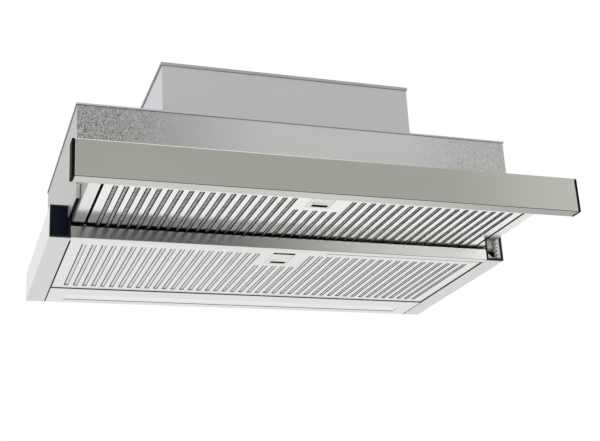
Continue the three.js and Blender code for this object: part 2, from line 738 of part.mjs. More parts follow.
function terminalCover() {
  const { width, depth, height, wall } = TERMINAL_BOX;
  const front = bodyBack - 2 * BODY_SHEET - 3 * SEAT - depth;
  const top = BODY_TOP - BODY_SHEET - SEAT;
  const face = [terminalBoxX, terminalBoxX + width];
  const lid = box(face, [front - wall, front], [top - height, top - BODY_SHEET]);
  const lip = [wall + SEAT, wall * 2];
  const plug = box(
    [terminalBoxX + lip[0], terminalBoxX + width - lip[0]],
    [front, front + wall],
    [top - height + lip[0], top - lip[1]],
  );
  return join(lid, plug);
}

function cableGland() {
  const foot = BODY_TOP + SEAT;
  const hex = bar("z", GLAND_RADIUS, [foot, foot + GLAND_HEIGHT / 2], [glandX, glandY], 6);
  const dome = bar("z", GLAND_RADIUS * 0.8, [foot, foot + GLAND_HEIGHT], [glandX, glandY], 20);
  const bore = bar("z", GLAND_BORE, [foot - PAST, foot + GLAND_HEIGHT + PAST], [glandX, glandY]);
  return cut(join(hex, dome), bore);
}

function addBlower() {
  const group = addGroup("blower");
  addPiece(group, "scroll_housing", scrollHousing(), "zincPlated");
  addPiece(group, "impeller", impeller(), "greyPlastic");
  const shaftEnds = [motorStart - SEAT, HUB_LENGTH / 2];
  addPiece(group, "motor_shaft", bar("x", SHAFT_RADIUS, shaftEnds, [axle.y, axle.z], 20), "zincPlated");
  addPiece(group, "motor", motor(), "motorSteel");
  addPiece(group, "motor_bracket", motorBracket(), "zincPlated");
  const capacitorFace = SCROLL_WIDTH / 2 + SEAT;
  const capacitorRun = [capacitorFace, capacitorFace + CAPACITOR_LENGTH];
  const capacitorHeight = axle.z + INLET_RADIUS + CAPACITOR_RADIUS - 2 * BRACKET_RING;
  const capacitorCentre = [axle.y + INLET_RADIUS, capacitorHeight];
  const capacitor = bar("x", CAPACITOR_RADIUS, capacitorRun, capacitorCentre, 24);
  addPiece(group, "capacitor", capacitor, "whitePlastic");
  addPiece(group, "terminal_box", terminalBox(), "greyPlastic");
  addPiece(group, "terminal_cover", terminalCover(), "greyPlastic");
  addPiece(group, "cable_gland", cableGland(), "blackPlastic");
}

// ---------------------------------------------------------------- lower frame

const fixedFilter = {
  halfWidth: memberInner - FRAME_SHEET * 2,
  front: baseFront + CROSSBAR_DEPTH + FILTER_GAP,
  back: -REAR_STRIP_DEPTH - FILTER_GAP - SLIDE_GAP,
  underside: FILTER_LIFT,
  slots: FIXED_SLOTS,
  slotMargin: FIXED_SLOT_MARGIN,
  slotFromSide: FIXED_SLOT_FROM_SIDE,
  shortSlotStart: FIXED_SHORT_SLOT_START,
  latch: FIXED_LATCH,
};
const trayFilter = {
  halfWidth: armInner - TRAY_FILTER_SIDE_GAP,
  front: trayFront + TRAY_FRONT_BAR_DEPTH + FILTER_GAP,
  back: baseFront + TRAY_FILTER_OVERLAP,
  underside: TRAY_UNDERSIDE,
  slots: TRAY_SLOTS,
  slotMargin: TRAY_SLOT_MARGIN,
  slotFromSide: TRAY_SLOT_FROM_SIDE,
  shortSlotStart: TRAY_SHORT_SLOT_START,
  latch: TRAY_LATCH,
};

function pivotOf(filter) {
  return [filter.back - PIVOT_FROM_REAR, filter.underside + PIVOT_HEIGHT];
}

// A side member: a channel open to the inside above its lip. Its top is a ledge for the cabinet's
// side, with a step down to where the body's side panel stands.
function frameMember(side) {
  const ledgeInner = halfBody + SEAT;
  const profile = outline(
    mirror(
      [
        [halfHood, 0],
        [halfHood, BASE_HEIGHT],
        [ledgeInner, BASE_HEIGHT],
        [ledgeInner, BASE_HEIGHT - SEAT],
        [memberInner, BASE_HEIGHT - SEAT],
        [memberInner, BASE_HEIGHT - FRAME_SHEET],
        [halfHood - FRAME_SHEET, BASE_HEIGHT - FRAME_SHEET],
        [halfHood - FRAME_SHEET, FRAME_SHEET],
        [memberInner + FRAME_SHEET, FRAME_SHEET],
        [memberInner + FRAME_SHEET, MEMBER_LIP],
        [memberInner, MEMBER_LIP],
        [memberInner, 0],
      ],
      side,
    ),
  );
  const channel = alongY(profile, memberFront + SEAT, 0);
  const [pivotY, pivotZ] = pivotOf(fixedFilter);
  const reach = [side * (memberInner - PAST), side * (memberInner + 2 * FRAME_SHEET)].sort((a, b) => a - b);
  const pivotHole = bar("x", PIVOT_RADIUS + PIVOT_CLEARANCE, reach, [pivotY, pivotZ]);
  const wall = [BASE_HEIGHT - 2 * FRAME_SHEET, BASE_HEIGHT + PAST];
  const ledge = (halfHood + halfBody) / 2;
  const screws = [baseFront + 2 * MEMBER_WIDTH, -2 * MEMBER_WIDTH].map((y) =>
    bar("z", FRAME_SCREW_RADIUS, wall, [side * ledge, y]),
  );
  return cut(channel, pivotHole, ...screws);
}

function frontCrossbar() {
  const profile = folded(
    [
      [baseFront + CROSSBAR_DEPTH, 0],
      [baseFront, 0],
      [baseFront, CROSSBAR_HEIGHT],
      [baseFront + CROSSBAR_DEPTH * 0.6, CROSSBAR_HEIGHT],
    ],
    -FRAME_SHEET,
  );
  return alongX(profile, -memberInner + SEAT, memberInner - SEAT);
}

const lampBack = -LAMP_FROM_WALL;
const lampFront = lampBack - LAMP_WIDTH;

// The wide strip behind the fixed filter: a lip, the underside with the lamp's opening, the wall
// face and a ledge that closes the gap under the body's back panel.
function rearStrip() {
  const profile = folded(
    [
      [-REAR_STRIP_DEPTH, REAR_STRIP_LIP],
      [-REAR_STRIP_DEPTH, 0],
      [0, 0],
      [0, BASE_HEIGHT],
      [bodyBack - BODY_FLANGE, BASE_HEIGHT],
    ],
    FRAME_SHEET,
  );
  const strip = alongX(profile, -memberInner + SEAT, memberInner - SEAT);
  const opening = box([-halfLamp, halfLamp], [lampFront, lampBack], [-PAST, 2 * FRAME_SHEET]);
  return cut(strip, opening);
}

// A frosted bar that drops through the opening and hangs on its flange.
function lampLens() {
  const inset = SEAT;
  const half = halfLamp - inset;
  const top = FRAME_SHEET + LENS_THICKNESS;
  const drop = box([-half, half], [lampFront + inset, lampBack - inset], [FRAME_SHEET / 2, top]);
  const rim = half + LENS_FLANGE;
  const flange = box(
    [-rim, rim],
    [lampFront - LENS_FLANGE, lampBack + LENS_FLANGE],
    [FRAME_SHEET + SEAT, FRAME_SHEET + LENS_THICKNESS],
  );
  return join(drop, flange);
}

function lampBoard() {
  const foot = FRAME_SHEET + LENS_THICKNESS + SEAT;
  const middle = (lampFront + lampBack) / 2;
  const half = halfLamp - LAMP_CHIP_SIZE;
  const chipTop = foot + LAMP_CHIP_HEIGHT;
  const strip = box(
    [-half, half],
    [middle - LAMP_BOARD_WIDTH / 2, middle + LAMP_BOARD_WIDTH / 2],
    [chipTop, chipTop + LAMP_BOARD_THICKNESS],
  );
  const pitch = (2 * half) / LAMP_CHIPS;
  const chips = Array.from({ length: LAMP_CHIPS }, (_, i) => {
    const x = -half + pitch * (i + 0.5);
    return box(
      [x - LAMP_CHIP_SIZE / 2, x + LAMP_CHIP_SIZE / 2],
      [middle - LAMP_CHIP_SIZE / 2, middle + LAMP_CHIP_SIZE / 2],
      [foot, chipTop + LAMP_BOARD_THICKNESS / 2],
    );
  });
  return join(strip, ...chips);
}

function addFrame() {
  const group = addGroup("lower_frame");
  addPiece(group, "left_frame_member", frameMember(-1), "brushedSteel");
  addPiece(group, "right_frame_member", frameMember(1), "brushedSteel");
  addPiece(group, "front_crossbar", frontCrossbar(), "brushedSteel");
  addPiece(group, "rear_strip", rearStrip(), "brushedSteel");
  addPiece(group, "lamp_lens", lampLens(), "lens");
  addPiece(group, "lamp_board", lampBoard(), "board");
}

// ---------------------------------------------------------------- black end blocks

const blockInner = memberInner;
const blockOuter = halfHood;

// The left block: a rimmed front with a recess for the touch panel, and a plug in the channel's end.
function controlHousing() {
  const front = box([-blockOuter, -blockInner], [baseFront, baseFront + CAP_THICKNESS], [0, BASE_HEIGHT]);
  const recess = box(
    [-blockOuter + CAP_RIM, -blockInner - CAP_RIM],
    [baseFront - PAST, baseFront + PANEL_THICKNESS + SEAT],
    [CAP_RIM, BASE_HEIGHT - CAP_RIM],
  );
  const plugX = [-blockOuter + FRAME_SHEET + SEAT, -blockInner - FRAME_SHEET - SEAT];
  const plugZ = [FRAME_SHEET + SEAT, BASE_HEIGHT - FRAME_SHEET - SEAT];
  const plug = box(plugX, [baseFront + CAP_THICKNESS / 2, baseFront + CAP_THICKNESS + PLUG_DEPTH], plugZ);
  const hollow = box(
    [plugX[0] + PLUG_WALL, plugX[1] - PLUG_WALL],
    [baseFront + CAP_THICKNESS, baseFront + CAP_THICKNESS + PLUG_DEPTH + PAST],
    [plugZ[0] + PLUG_WALL, plugZ[1] - PLUG_WALL],
  );
  return cut(join(front, plug), recess, hollow);
}

function touchPanel() {
  return box(
    [-blockOuter + CAP_RIM + SEAT, -blockInner - CAP_RIM - SEAT],
    [baseFront, baseFront + PANEL_THICKNESS],
    [CAP_RIM + SEAT, BASE_HEIGHT - CAP_RIM - SEAT],
  );
}

function controlBoard() {
  const inset = FRAME_SHEET + 2 * SEAT + PLUG_WALL;
  const face = baseFront + CAP_THICKNESS + SEAT;
  const plate = box(
    [-blockOuter + inset, -blockInner - inset],
    [face, face + BOARD_THICKNESS],
    [inset, BASE_HEIGHT - inset],
  );
  const chip = box(
    [-blockOuter + 3 * inset, -blockInner - 2.4 * inset],
    [face, face + 2 * BOARD_THICKNESS],
    [BASE_HEIGHT / 2 - inset, BASE_HEIGHT / 2 + inset],
  );
  return join(plate, chip);
}

// The right block: an open black frame that shows the slide behind it.
function endFrame() {
  const ring = box([blockInner, blockOuter], [baseFront, baseFront + CAP_THICKNESS], [0, BASE_HEIGHT]);
  const window = box(
    [blockInner + END_FRAME_BAR, blockOuter - END_FRAME_BAR],
    [baseFront - PAST, baseFront + CAP_THICKNESS + PAST],
    [END_FRAME_BAR, BASE_HEIGHT - END_FRAME_BAR],
  );
  const reach = FRAME_SHEET + SEAT;
  const tongues = [reach, BASE_HEIGHT - reach - PLUG_WALL].map((z) =>
    box(
      [blockInner + 2 * END_FRAME_BAR, blockOuter - 2 * END_FRAME_BAR],
      [baseFront + SEAT, baseFront + CAP_THICKNESS + PLUG_DEPTH / 2],
      [z, z + PLUG_WALL],
    ),
  );
  return join(cut(ring, window), ...tongues);
}

// A white guide in the right channel's end: a wall with a column of square teeth and a cross rib.
function railGuide() {
  const depth = [baseFront + CAP_THICKNESS + SEAT, baseFront + CAP_THICKNESS + PLUG_DEPTH];
  const outer = blockOuter - FRAME_SHEET - SEAT;
  const low = CAP_RIM + PLUG_WALL + SEAT;
  const high = BASE_HEIGHT - CAP_RIM - PLUG_WALL - 3 * SEAT;
  const wall = box([outer - GUIDE_WALL, outer], depth, [low, high]);
  const pitch = (high - low) / GUIDE_TEETH;
  const teeth = Array.from({ length: GUIDE_TEETH }, (_, i) => {
    const z = low + pitch * (i + 0.5);
    return box(
      [outer - GUIDE_WALL - GUIDE_TOOTH, outer - GUIDE_WALL / 2],
      [depth[0], depth[0] + PLUG_DEPTH / 2],
      [z - GUIDE_TOOTH / 2, z + GUIDE_TOOTH / 2],
    );
  });
  const shelfDepth = [depth[0] + 2 * GUIDE_WALL, depth[1]];
  const shelf = box([blockInner + FRAME_SHEET + SEAT, outer], shelfDepth, [low, low + GUIDE_WALL]);
  const arrow = alongY(
    outline([
      [blockInner + 2 * CAP_RIM, low + GUIDE_WALL / 2],
      [outer - GUIDE_WALL - GUIDE_TOOTH * 2, low + GUIDE_WALL / 2],
      [blockInner + 2 * CAP_RIM, low + GUIDE_WALL * 4],
    ]),
    depth[0] + 2 * GUIDE_WALL,
    depth[1],
  );
  return join(wall, ...teeth, shelf, arrow);
}

function addEndBlocks() {
  const group = addGroup("end_blocks");
  addPiece(group, "control_housing", controlHousing(), "blackPlastic");
  addPiece(group, "touch_panel", touchPanel(), "gloss");
  addPiece(group, "control_board", controlBoard(), "board");
  addPiece(group, "right_end_frame", endFrame(), "blackPlastic");
  addPiece(group, "rail_guide", railGuide(), "whitePlastic");
}

// ---------------------------------------------------------------- telescopic slides

const railTop = BASE_HEIGHT - FRAME_SHEET - RAIL_FROM_CEILING;
const railFoot = railTop - RAIL_HEIGHT;
const railOuter = halfHood - FRAME_SHEET - SEAT;
const step = RAIL_SHEET + SLIDE_GAP;

// A channel that opens towards the tray, nested one step further in for each level.
function railChannel(side, level, from, to) {
  const outer = railOuter - level * step;
  const low = railFoot + level * step;
  const high = railTop - level * step;
  const inner = outer - RAIL_DEPTH;
  const points = [
    [inner, low],
    [outer, low],
    [outer, high],
    [inner, high],
    [inner, high - RAIL_SHEET],
    [outer - RAIL_SHEET, high - RAIL_SHEET],
    [outer - RAIL_SHEET, low + RAIL_SHEET],
    [inner, low + RAIL_SHEET],
  ];
  return alongY(outline(mirror(points, side)), from, to);
}

// A nylon block that runs in the middle rail and carries the tray's arm.
function carriage(side) {
  const outer = railOuter - 2 * step;
  const low = railFoot + 2 * step;
  const high = railTop - 2 * step;
  const inner = armOuter + SEAT;
  const block = box([side * inner, side * outer], [railFront, carriageBack], [low, high]);
  const pitch = CARRIAGE_LENGTH / CARRIAGE_POCKETS;
  const wall = 2 * RAIL_SHEET;
  const pockets = Array.from({ length: CARRIAGE_POCKETS }, (_, i) => {
    const from = railFront + pitch * i + wall;
    return box(
      [side * (outer + 1), side * (outer - CARRIAGE_POCKET_DEPTH)],
      [from, from + pitch - 2 * wall],
      [low + wall, high - wall],
    );
  });
  return cut(block, ...pockets);
}

function addSlides() {
  const group = addGroup("slides");
  const railBack = -RAIL_REAR_GAP;
  [
    ["left", -1],
    ["right", 1],
  ].forEach(([name, side]) => {
    addPiece(group, `${name}_fixed_rail`, railChannel(side, 0, railFront, railBack), "zincPlated");
    const middle = railChannel(side, 1, railFront, railFront + MIDDLE_RAIL_LENGTH);
    addPiece(group, `${name}_middle_rail`, middle, "zincPlated");
    addPiece(group, `${name}_carriage`, carriage(side), "whitePlastic");
  });
}

// ---------------------------------------------------------------- tray

// An arm: a tall outer wall on the carriage, the underside and a low inner wall beside the filter.
function trayArm(side) {
  const points = [
    [armInner, TRAY_UNDERSIDE],
    [armOuter, TRAY_UNDERSIDE],
    [armOuter, trayTop],
    [armOuter - FRAME_SHEET, trayTop],
    [armOuter - FRAME_SHEET, TRAY_UNDERSIDE + FRAME_SHEET],
    [armInner + FRAME_SHEET, TRAY_UNDERSIDE + FRAME_SHEET],
    [armInner + FRAME_SHEET, TRAY_UNDERSIDE + TRAY_EDGE_HEIGHT],
    [armInner, TRAY_UNDERSIDE + TRAY_EDGE_HEIGHT],
  ];
  const arm = alongY(outline(mirror(points, side)), trayFront, carriageBack);
  const reach = [side * (armInner - PAST), side * (armInner + 2 * FRAME_SHEET)].sort((a, b) => a - b);
  return cut(arm, bar("x", PIVOT_RADIUS + PIVOT_CLEARANCE, reach, pivotOf(trayFilter)));
}

function trayFrontBar() {
  const profile = folded(
    [
      [trayFront, trayTop],
      [trayFront, TRAY_UNDERSIDE],
      [trayFilter.front - FILTER_GAP, TRAY_UNDERSIDE],
    ],
    FRAME_SHEET,
  );
  return alongX(profile, -armInner + SEAT, armInner - SEAT);
}

function trayRearBar() {
  const front = trayFilter.back + FILTER_GAP + SLIDE_GAP;
  const profile = folded(
    [
      [front, TRAY_UNDERSIDE + TRAY_EDGE_HEIGHT],
      [front, TRAY_UNDERSIDE],
      [front + TRAY_REAR_BAR_DEPTH, TRAY_UNDERSIDE],
      [front + TRAY_REAR_BAR_DEPTH, TRAY_UNDERSIDE + TRAY_EDGE_HEIGHT],
    ],
    FRAME_SHEET,
  );
  return alongX(profile, -armInner + SEAT, armInner - SEAT);
}

// The plate that closes the drawn-out tray from above and slides in under the body.
function trayCover() {
  const foot = trayTop + SEAT;
  const depth = [trayFront, trayFront + TRAY_COVER_DEPTH];
  return box([-armOuter, armOuter], depth, [foot, foot + TRAY_COVER_SHEET]);
}

// The fascia: a shallow channel with its open side to the tray.
function fascia() {
  const profile = outline([
    [fasciaFront, 0],
    [fasciaBack, 0],
    [fasciaBack, FASCIA_RETURN],
    [fasciaBack - FRAME_SHEET, FASCIA_RETURN],
    [fasciaBack - FRAME_SHEET, FRAME_SHEET],
    [fasciaFront + FRAME_SHEET, FRAME_SHEET],
    [fasciaFront + FRAME_SHEET, FASCIA_HEIGHT - FRAME_SHEET],
    [fasciaBack - FRAME_SHEET, FASCIA_HEIGHT - FRAME_SHEET],
    [fasciaBack - FRAME_SHEET, FASCIA_HEIGHT - FASCIA_RETURN],
    [fasciaBack, FASCIA_HEIGHT - FASCIA_RETURN],
    [fasciaBack, FASCIA_HEIGHT],
    [fasciaFront, FASCIA_HEIGHT],
  ]);
  const half = halfHood - FASCIA_CAP - SEAT;
  return alongX(profile, -half, half);
}

function fasciaCap(side) {
  const inner = halfHood - FASCIA_CAP;
  const plate = box([side * inner, side * halfHood], [fasciaFront, fasciaBack], [0, FASCIA_HEIGHT]);
  const inset = FRAME_SHEET + SEAT;
  const plug = box(
    [side * (inner - FASCIA_CAP_PLUG), side * (inner + FASCIA_CAP / 2)],
    [fasciaFront + inset, fasciaBack - inset],
    [inset, FASCIA_HEIGHT - inset],
  );
  return join(plate, plug);
}

function magnet() {
  const back = carriageBack - MAGNET_SIZE.length;
  const outer = armOuter - FRAME_SHEET - SEAT;
  const foot = TRAY_UNDERSIDE + FRAME_SHEET + SEAT;
  const { width, length, height } = MAGNET_SIZE;
  return box([outer - width, outer], [back, back + length], [foot, foot + height]);
}

function reedSwitch() {
  const foot = FRAME_SHEET + SEAT;
  const outer = memberInner + FRAME_SHEET + SEAT + REED_SIZE.width;
  const back = -RAIL_REAR_GAP - FRAME_SHEET;
  const { width, length, height } = REED_SIZE;
  return box([outer - width, outer], [back - length, back], [foot, foot + height]);
}

function addTray() {
  const group = addGroup("tray");
  addPiece(group, "left_tray_arm", trayArm(-1), "brushedSteel");
  addPiece(group, "right_tray_arm", trayArm(1), "brushedSteel");
  addPiece(group, "tray_front_bar", trayFrontBar(), "brushedSteel");
  addPiece(group, "tray_rear_bar", trayRearBar(), "brushedSteel");
  addPiece(group, "tray_cover", trayCover(), "galvanised");
  addPiece(group, "fascia", fascia(), "brushedSteel");
  addPiece(group, "left_fascia_cap", fasciaCap(-1), "blackPlastic");
  addPiece(group, "right_fascia_cap", fasciaCap(1), "blackPlastic");
  addPiece(group, "tray_magnet", magnet(), "motorSteel");
  addPiece(group, "reed_switch", reedSwitch(), "whitePlastic");
}

// ---------------------------------------------------------------- filters

// Where a latch and its window lie: the latch rests drawn back and slides forward to lock.
function latchPlace(filter) {
  const windowFront = filter.front + filter.latch.margin;
  const front = windowFront + LATCH_TRAVEL + SEAT;
  const back = front + filter.latch.length;
  const above = filter.underside + FILTER_SHEET + SEAT;
  return { windowFront, front, back, windowBack: back + SEAT, above, tongueFoot: above + FILTER_SHEET / 2 };
}

// A hook on the grille that holds one wing of the latch down.
function latchGuide(filter, side) {
  const latch = latchPlace(filter);
  const half = LATCH_WIDTH / 2;
  const stem = half + LATCH_GUIDE + SEAT;
  const run = [latch.front + LATCH_GUIDE_FROM_END, latch.back - LATCH_GUIDE_FROM_END];
  const foot = filter.underside + FILTER_SHEET / 2;
  const roof = latch.above + FILTER_SHEET + SEAT;
  const wall = [LATCH_OFFSET + side * stem, LATCH_OFFSET + side * (stem + FILTER_SHEET)];
  const cover = [LATCH_OFFSET + side * half, wall[1]];
  return join(box(wall, run, [foot, roof + FILTER_SHEET / 2]), box(cover, run, [roof, roof + FILTER_SHEET]));
}

// A slotted pan: the grille sheet with its edges folded up, a window for the latch and two pivots.
function filterPan(filter) {
  const { halfWidth, front, back, underside } = filter;
  const corners = [
    [-halfWidth, front],
    [halfWidth, front],
    [halfWidth, back],
    [-halfWidth, back],
  ];
  const plate = outline(corners);
  const pitch = (2 * (halfWidth - filter.slotFromSide)) / (filter.slots - 1);
  for (let i = 0; i < filter.slots; i += 1) {
    const place = i - (filter.slots - 1) / 2;
    const short = Math.abs(place) <= (SHORT_SLOTS - 1) / 2;
    const from = front + (short ? filter.shortSlotStart : filter.slotMargin);
    plate.holes.push(slotPath(place * pitch, from, back - filter.slotMargin));
  }
  const latch = latchPlace(filter);
  const x = (offset) => LATCH_OFFSET + offset;
  const half = LATCH_WIDTH / 2;
  plate.holes.push(
    outline([
      [x(-half), latch.windowFront],
      [x(-half), latch.windowBack],
      [x(half), latch.windowBack],
      [x(half), latch.windowFront],
    ]),
  );
  const edge = outline(corners);
  edge.holes.push(
    outline([
      [-halfWidth + FILTER_SHEET, front + FILTER_SHEET],
      [-halfWidth + FILTER_SHEET, back - FILTER_SHEET],
      [halfWidth - FILTER_SHEET, back - FILTER_SHEET],
      [halfWidth - FILTER_SHEET, front + FILTER_SHEET],
    ]),
  );
  const pivots = [-1, 1].map((side) => {
    const run = [side * (halfWidth - FILTER_SHEET), side * (halfWidth + PIVOT_REACH)].sort((a, b) => a - b);
    return bar("x", PIVOT_RADIUS, run, pivotOf(filter), 12);
  });
  const tongueHole = box(
    [x(-LATCH_TONGUE_WIDTH / 2 - SEAT), x(LATCH_TONGUE_WIDTH / 2 + SEAT)],
    [front - PAST, front + 2 * FILTER_SHEET],
    [latch.tongueFoot - SEAT, latch.tongueFoot + LATCH_TONGUE_THICKNESS + SEAT],
  );
  const pan = join(
    raise(plate, underside, underside + FILTER_SHEET),
    raise(edge, underside + FILTER_SHEET / 2, underside + FILTER_EDGE_HEIGHT),
    ...pivots,
    latchGuide(filter, -1),
    latchGuide(filter, 1),
  );
  return cut(pan, tongueHole);
}

// The pleated aluminium mesh that lies on the grille, cut away round the latch.
function filterMesh(filter) {
  const low = filter.underside + FILTER_SHEET + SEAT;
  const high = low + MESH_HEIGHT;
  const inner = filter.halfWidth - FILTER_SHEET - SEAT;
  const folds = 2 * Math.round(inner / MESH_PITCH);
  const pitch = (2 * inner) / folds;
  const crest = high - MESH_SHEET;
  const sides = Array.from({ length: folds + 1 }, (_, i) => [-inner + pitch * i, i % 2 ? crest : low]);
  const raised = sides.map(([x, z]) => [x, z + MESH_SHEET]).reverse();
  const from = filter.front + FILTER_SHEET + SEAT;
  const sheet = alongY(outline([...sides, ...raised]), from, filter.back - FILTER_SHEET - SEAT);
  const room = LATCH_WIDTH / 2 + LATCH_GUIDE + 2 * SEAT + FILTER_SHEET;
  const back = latchPlace(filter).windowBack + LATCH_GUIDE;
  const beside = [LATCH_OFFSET - room, LATCH_OFFSET + room];
  return cut(sheet, box(beside, [from - PAST, back], [low - PAST, high + PAST]));
}

// The frame that holds the mesh down from above, with a grid of open fields.
function filterBack(filter) {
  const low = filter.underside + FILTER_SHEET + MESH_HEIGHT + 2 * SEAT;
  const inset = FILTER_SHEET + SEAT;
  const x = filter.halfWidth - inset;
  const y = [filter.front + inset, filter.back - inset];
  const pitchX = (2 * x - BACK_BAR) / BACK_COLUMNS;
  const pitchY = (y[1] - y[0] - BACK_BAR) / BACK_ROWS;
  const fields = [];
  for (let i = 0; i < BACK_COLUMNS; i += 1) {
    for (let k = 0; k < BACK_ROWS; k += 1) {
      const left = -x + BACK_BAR + pitchX * i;
      const near = y[0] + BACK_BAR + pitchY * k;
      const width = pitchX - BACK_BAR;
      const depth = pitchY - BACK_BAR;
      fields.push(box([left, left + width], [near, near + depth], [low - PAST, low + 2 * FRAME_SHEET]));
    }
  }
  return cut(box([-x, x], y, [low, low + FRAME_SHEET]), ...fields);
}

// A sliding plate in the window with a shallow grip and a finger hole, a wider one above the sheet
// that carries it, and the tongue.
function filterLatch(filter) {
  const { front, back, above, tongueFoot } = latchPlace(filter);
  const half = LATCH_WIDTH / 2;
  const lower = box([-half + SEAT, half - SEAT], [front, back], [filter.underside, above + SEAT]);
  const upper = box([-half - LATCH_GUIDE, half + LATCH_GUIDE], [front, back], [above, above + FILTER_SHEET]);
  const tongue = box(
    [-LATCH_TONGUE_WIDTH / 2, LATCH_TONGUE_WIDTH / 2],
    [filter.front + SEAT, front + LATCH_TRAVEL],
    [tongueFoot, tongueFoot + LATCH_TONGUE_THICKNESS],
  );
  const holeBack = back - LATCH_FINGER_RIM;
  const holeFront = holeBack - LATCH_FINGER_DEPTH;
  const hole = box(
    [LATCH_FINGER_OFFSET - LATCH_FINGER_WIDTH / 2, LATCH_FINGER_OFFSET + LATCH_FINGER_WIDTH / 2],
    [holeFront, holeBack],
    [filter.underside - PAST, above + FILTER_SHEET + PAST],
  );
  const grip = box(
    [-LATCH_GRIP_WIDTH / 2, LATCH_GRIP_WIDTH / 2],
    [front + LATCH_GRIP_MARGIN.front, holeFront - LATCH_GRIP_MARGIN.back],
    [filter.underside - PAST, filter.underside + LATCH_GRIP_DEPTH],
  );
  return cut(join(lower, upper, tongue), hole, grip).translate(LATCH_OFFSET, 0, 0);
}

function addFilter(name, filter) {
  const group = addGroup(`${name}_filter`);
  addPiece(group, `${name}_filter_grille`, filterPan(filter), "filterSteel");
  addPiece(group, `${name}_filter_mesh`, filterMesh(filter), "aluminiumMesh");
  addPiece(group, `${name}_filter_back`, filterBack(filter), "filterSteel");
  addPiece(group, `${name}_filter_latch`, filterLatch(filter), "filterSteel");
}

addBody();
addMotorBox();
addOutlet();
addBlower();
addFrame();
addEndBlocks();
addSlides();
addTray();
addFilter("fixed", fixedFilter);
addFilter("tray", trayFilter);
hood.position.z = -BASE_HEIGHT / 2;

export default hood;
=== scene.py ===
"""Looks of a pull-out cooker hood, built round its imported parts.

The hood hangs with its front tray drawn out: a brushed fascia with black end caps, two slotted
filters of bright steel, a black touch block on the left and an open black frame on the right,
and a galvanised body and motor box above. Metres throughout, in the parts' own frame: +X to the
right seen from the room, +Y to the wall, +Z up.
"""

import json
import logging
import math
from dataclasses import dataclass
from enum import Enum
from typing import Any, Callable, Sequence

import bmesh
import bpy
from mathutils import Matrix, Vector

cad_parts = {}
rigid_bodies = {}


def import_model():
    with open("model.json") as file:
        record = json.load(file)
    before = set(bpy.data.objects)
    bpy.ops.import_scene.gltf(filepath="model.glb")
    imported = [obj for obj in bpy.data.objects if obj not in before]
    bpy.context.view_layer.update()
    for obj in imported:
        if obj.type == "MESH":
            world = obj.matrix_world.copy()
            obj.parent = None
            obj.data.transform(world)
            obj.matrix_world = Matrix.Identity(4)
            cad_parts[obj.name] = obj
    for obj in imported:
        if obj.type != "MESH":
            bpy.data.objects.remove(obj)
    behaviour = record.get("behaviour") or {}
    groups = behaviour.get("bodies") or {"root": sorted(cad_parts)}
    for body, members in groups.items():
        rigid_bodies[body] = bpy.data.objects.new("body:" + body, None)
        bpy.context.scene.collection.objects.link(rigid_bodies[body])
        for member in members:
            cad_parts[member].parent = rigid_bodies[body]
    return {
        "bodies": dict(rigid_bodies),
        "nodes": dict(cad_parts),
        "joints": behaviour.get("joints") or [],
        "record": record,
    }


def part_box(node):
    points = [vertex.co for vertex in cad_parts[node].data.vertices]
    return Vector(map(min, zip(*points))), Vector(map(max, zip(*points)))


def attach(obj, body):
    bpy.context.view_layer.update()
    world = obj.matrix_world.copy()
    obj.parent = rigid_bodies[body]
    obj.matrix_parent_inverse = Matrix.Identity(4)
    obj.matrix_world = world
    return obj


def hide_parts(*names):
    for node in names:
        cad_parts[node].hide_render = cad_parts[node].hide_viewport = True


LOG = logging.getLogger("hood")
FRAME: dict[str, Any] = {}
Colour = tuple[float, float, float]

MM = 0.001
PAINTED_LINE = 0.55 * MM  # width of the painted shade and highlight strips along a corner
SAME_PLACE = 0.01 * MM  # corners this close are one corner
FACING = 0.9  # least share of a face's normal along an axis for it to face that way
FLAT_ANGLE = 1.0  # degrees between two faces that count as one flat face
SHARP_ANGLE = 35.0  # degrees between two faces from which their edge is sharp
UP = (0.0, 0.0, 1.0)


# ---------------------------------------------------------------------------- shader helpers


class Wire:
    """A shader value that Python's operators can work on."""

    def __init__(self, recipe: "Recipe", socket: Any) -> None:
        """Wraps one output socket of a node in the recipe's tree."""
        self.recipe = recipe
        self.socket = socket

    def _math(self, operation: str, first: Any, second: Any = 0.0) -> "Wire":
        """Adds a Math node on two values."""
        return self.recipe.node("ShaderNodeMath", {"operation": operation}, {0: first, 1: second})

    def __add__(self, other: Any) -> "Wire":
        """Sum."""
        return self._math("ADD", self, other)

    __radd__ = __add__

    def __mul__(self, other: Any) -> "Wire":
        """Product."""
        return self._math("MULTIPLY", self, other)

    __rmul__ = __mul__

    def __sub__(self, other: Any) -> "Wire":
        """Difference."""
        return self._math("SUBTRACT", self, other)

    def __rsub__(self, other: Any) -> "Wire":
        """Difference from a number."""
        return self._math("SUBTRACT", other, self)

    def most(self, other: Any) -> "Wire":
        """The higher of two values."""
        return self._math("MAXIMUM", self, other)

    def sine(self) -> "Wire":
        """Sine of an angle in radians."""
        return self._math("SINE", self)

    def ramp(self, low: float, high: float, start: float = 0.0, end: float = 1.0) -> "Wire":
        """Maps a range of this value smoothly onto start to end.

        Args:
            low: Value that gives start.
            high: Value that gives end.
            start: Result at and below low.
            end: Result at and above high.

        Returns:
            The mapped value.
        """
        return self.recipe.node(
            "ShaderNodeMapRange",
            {"interpolation_type": "SMOOTHSTEP"},
            {0: self, 1: low, 2: high, 3: start, 4: end},
        )


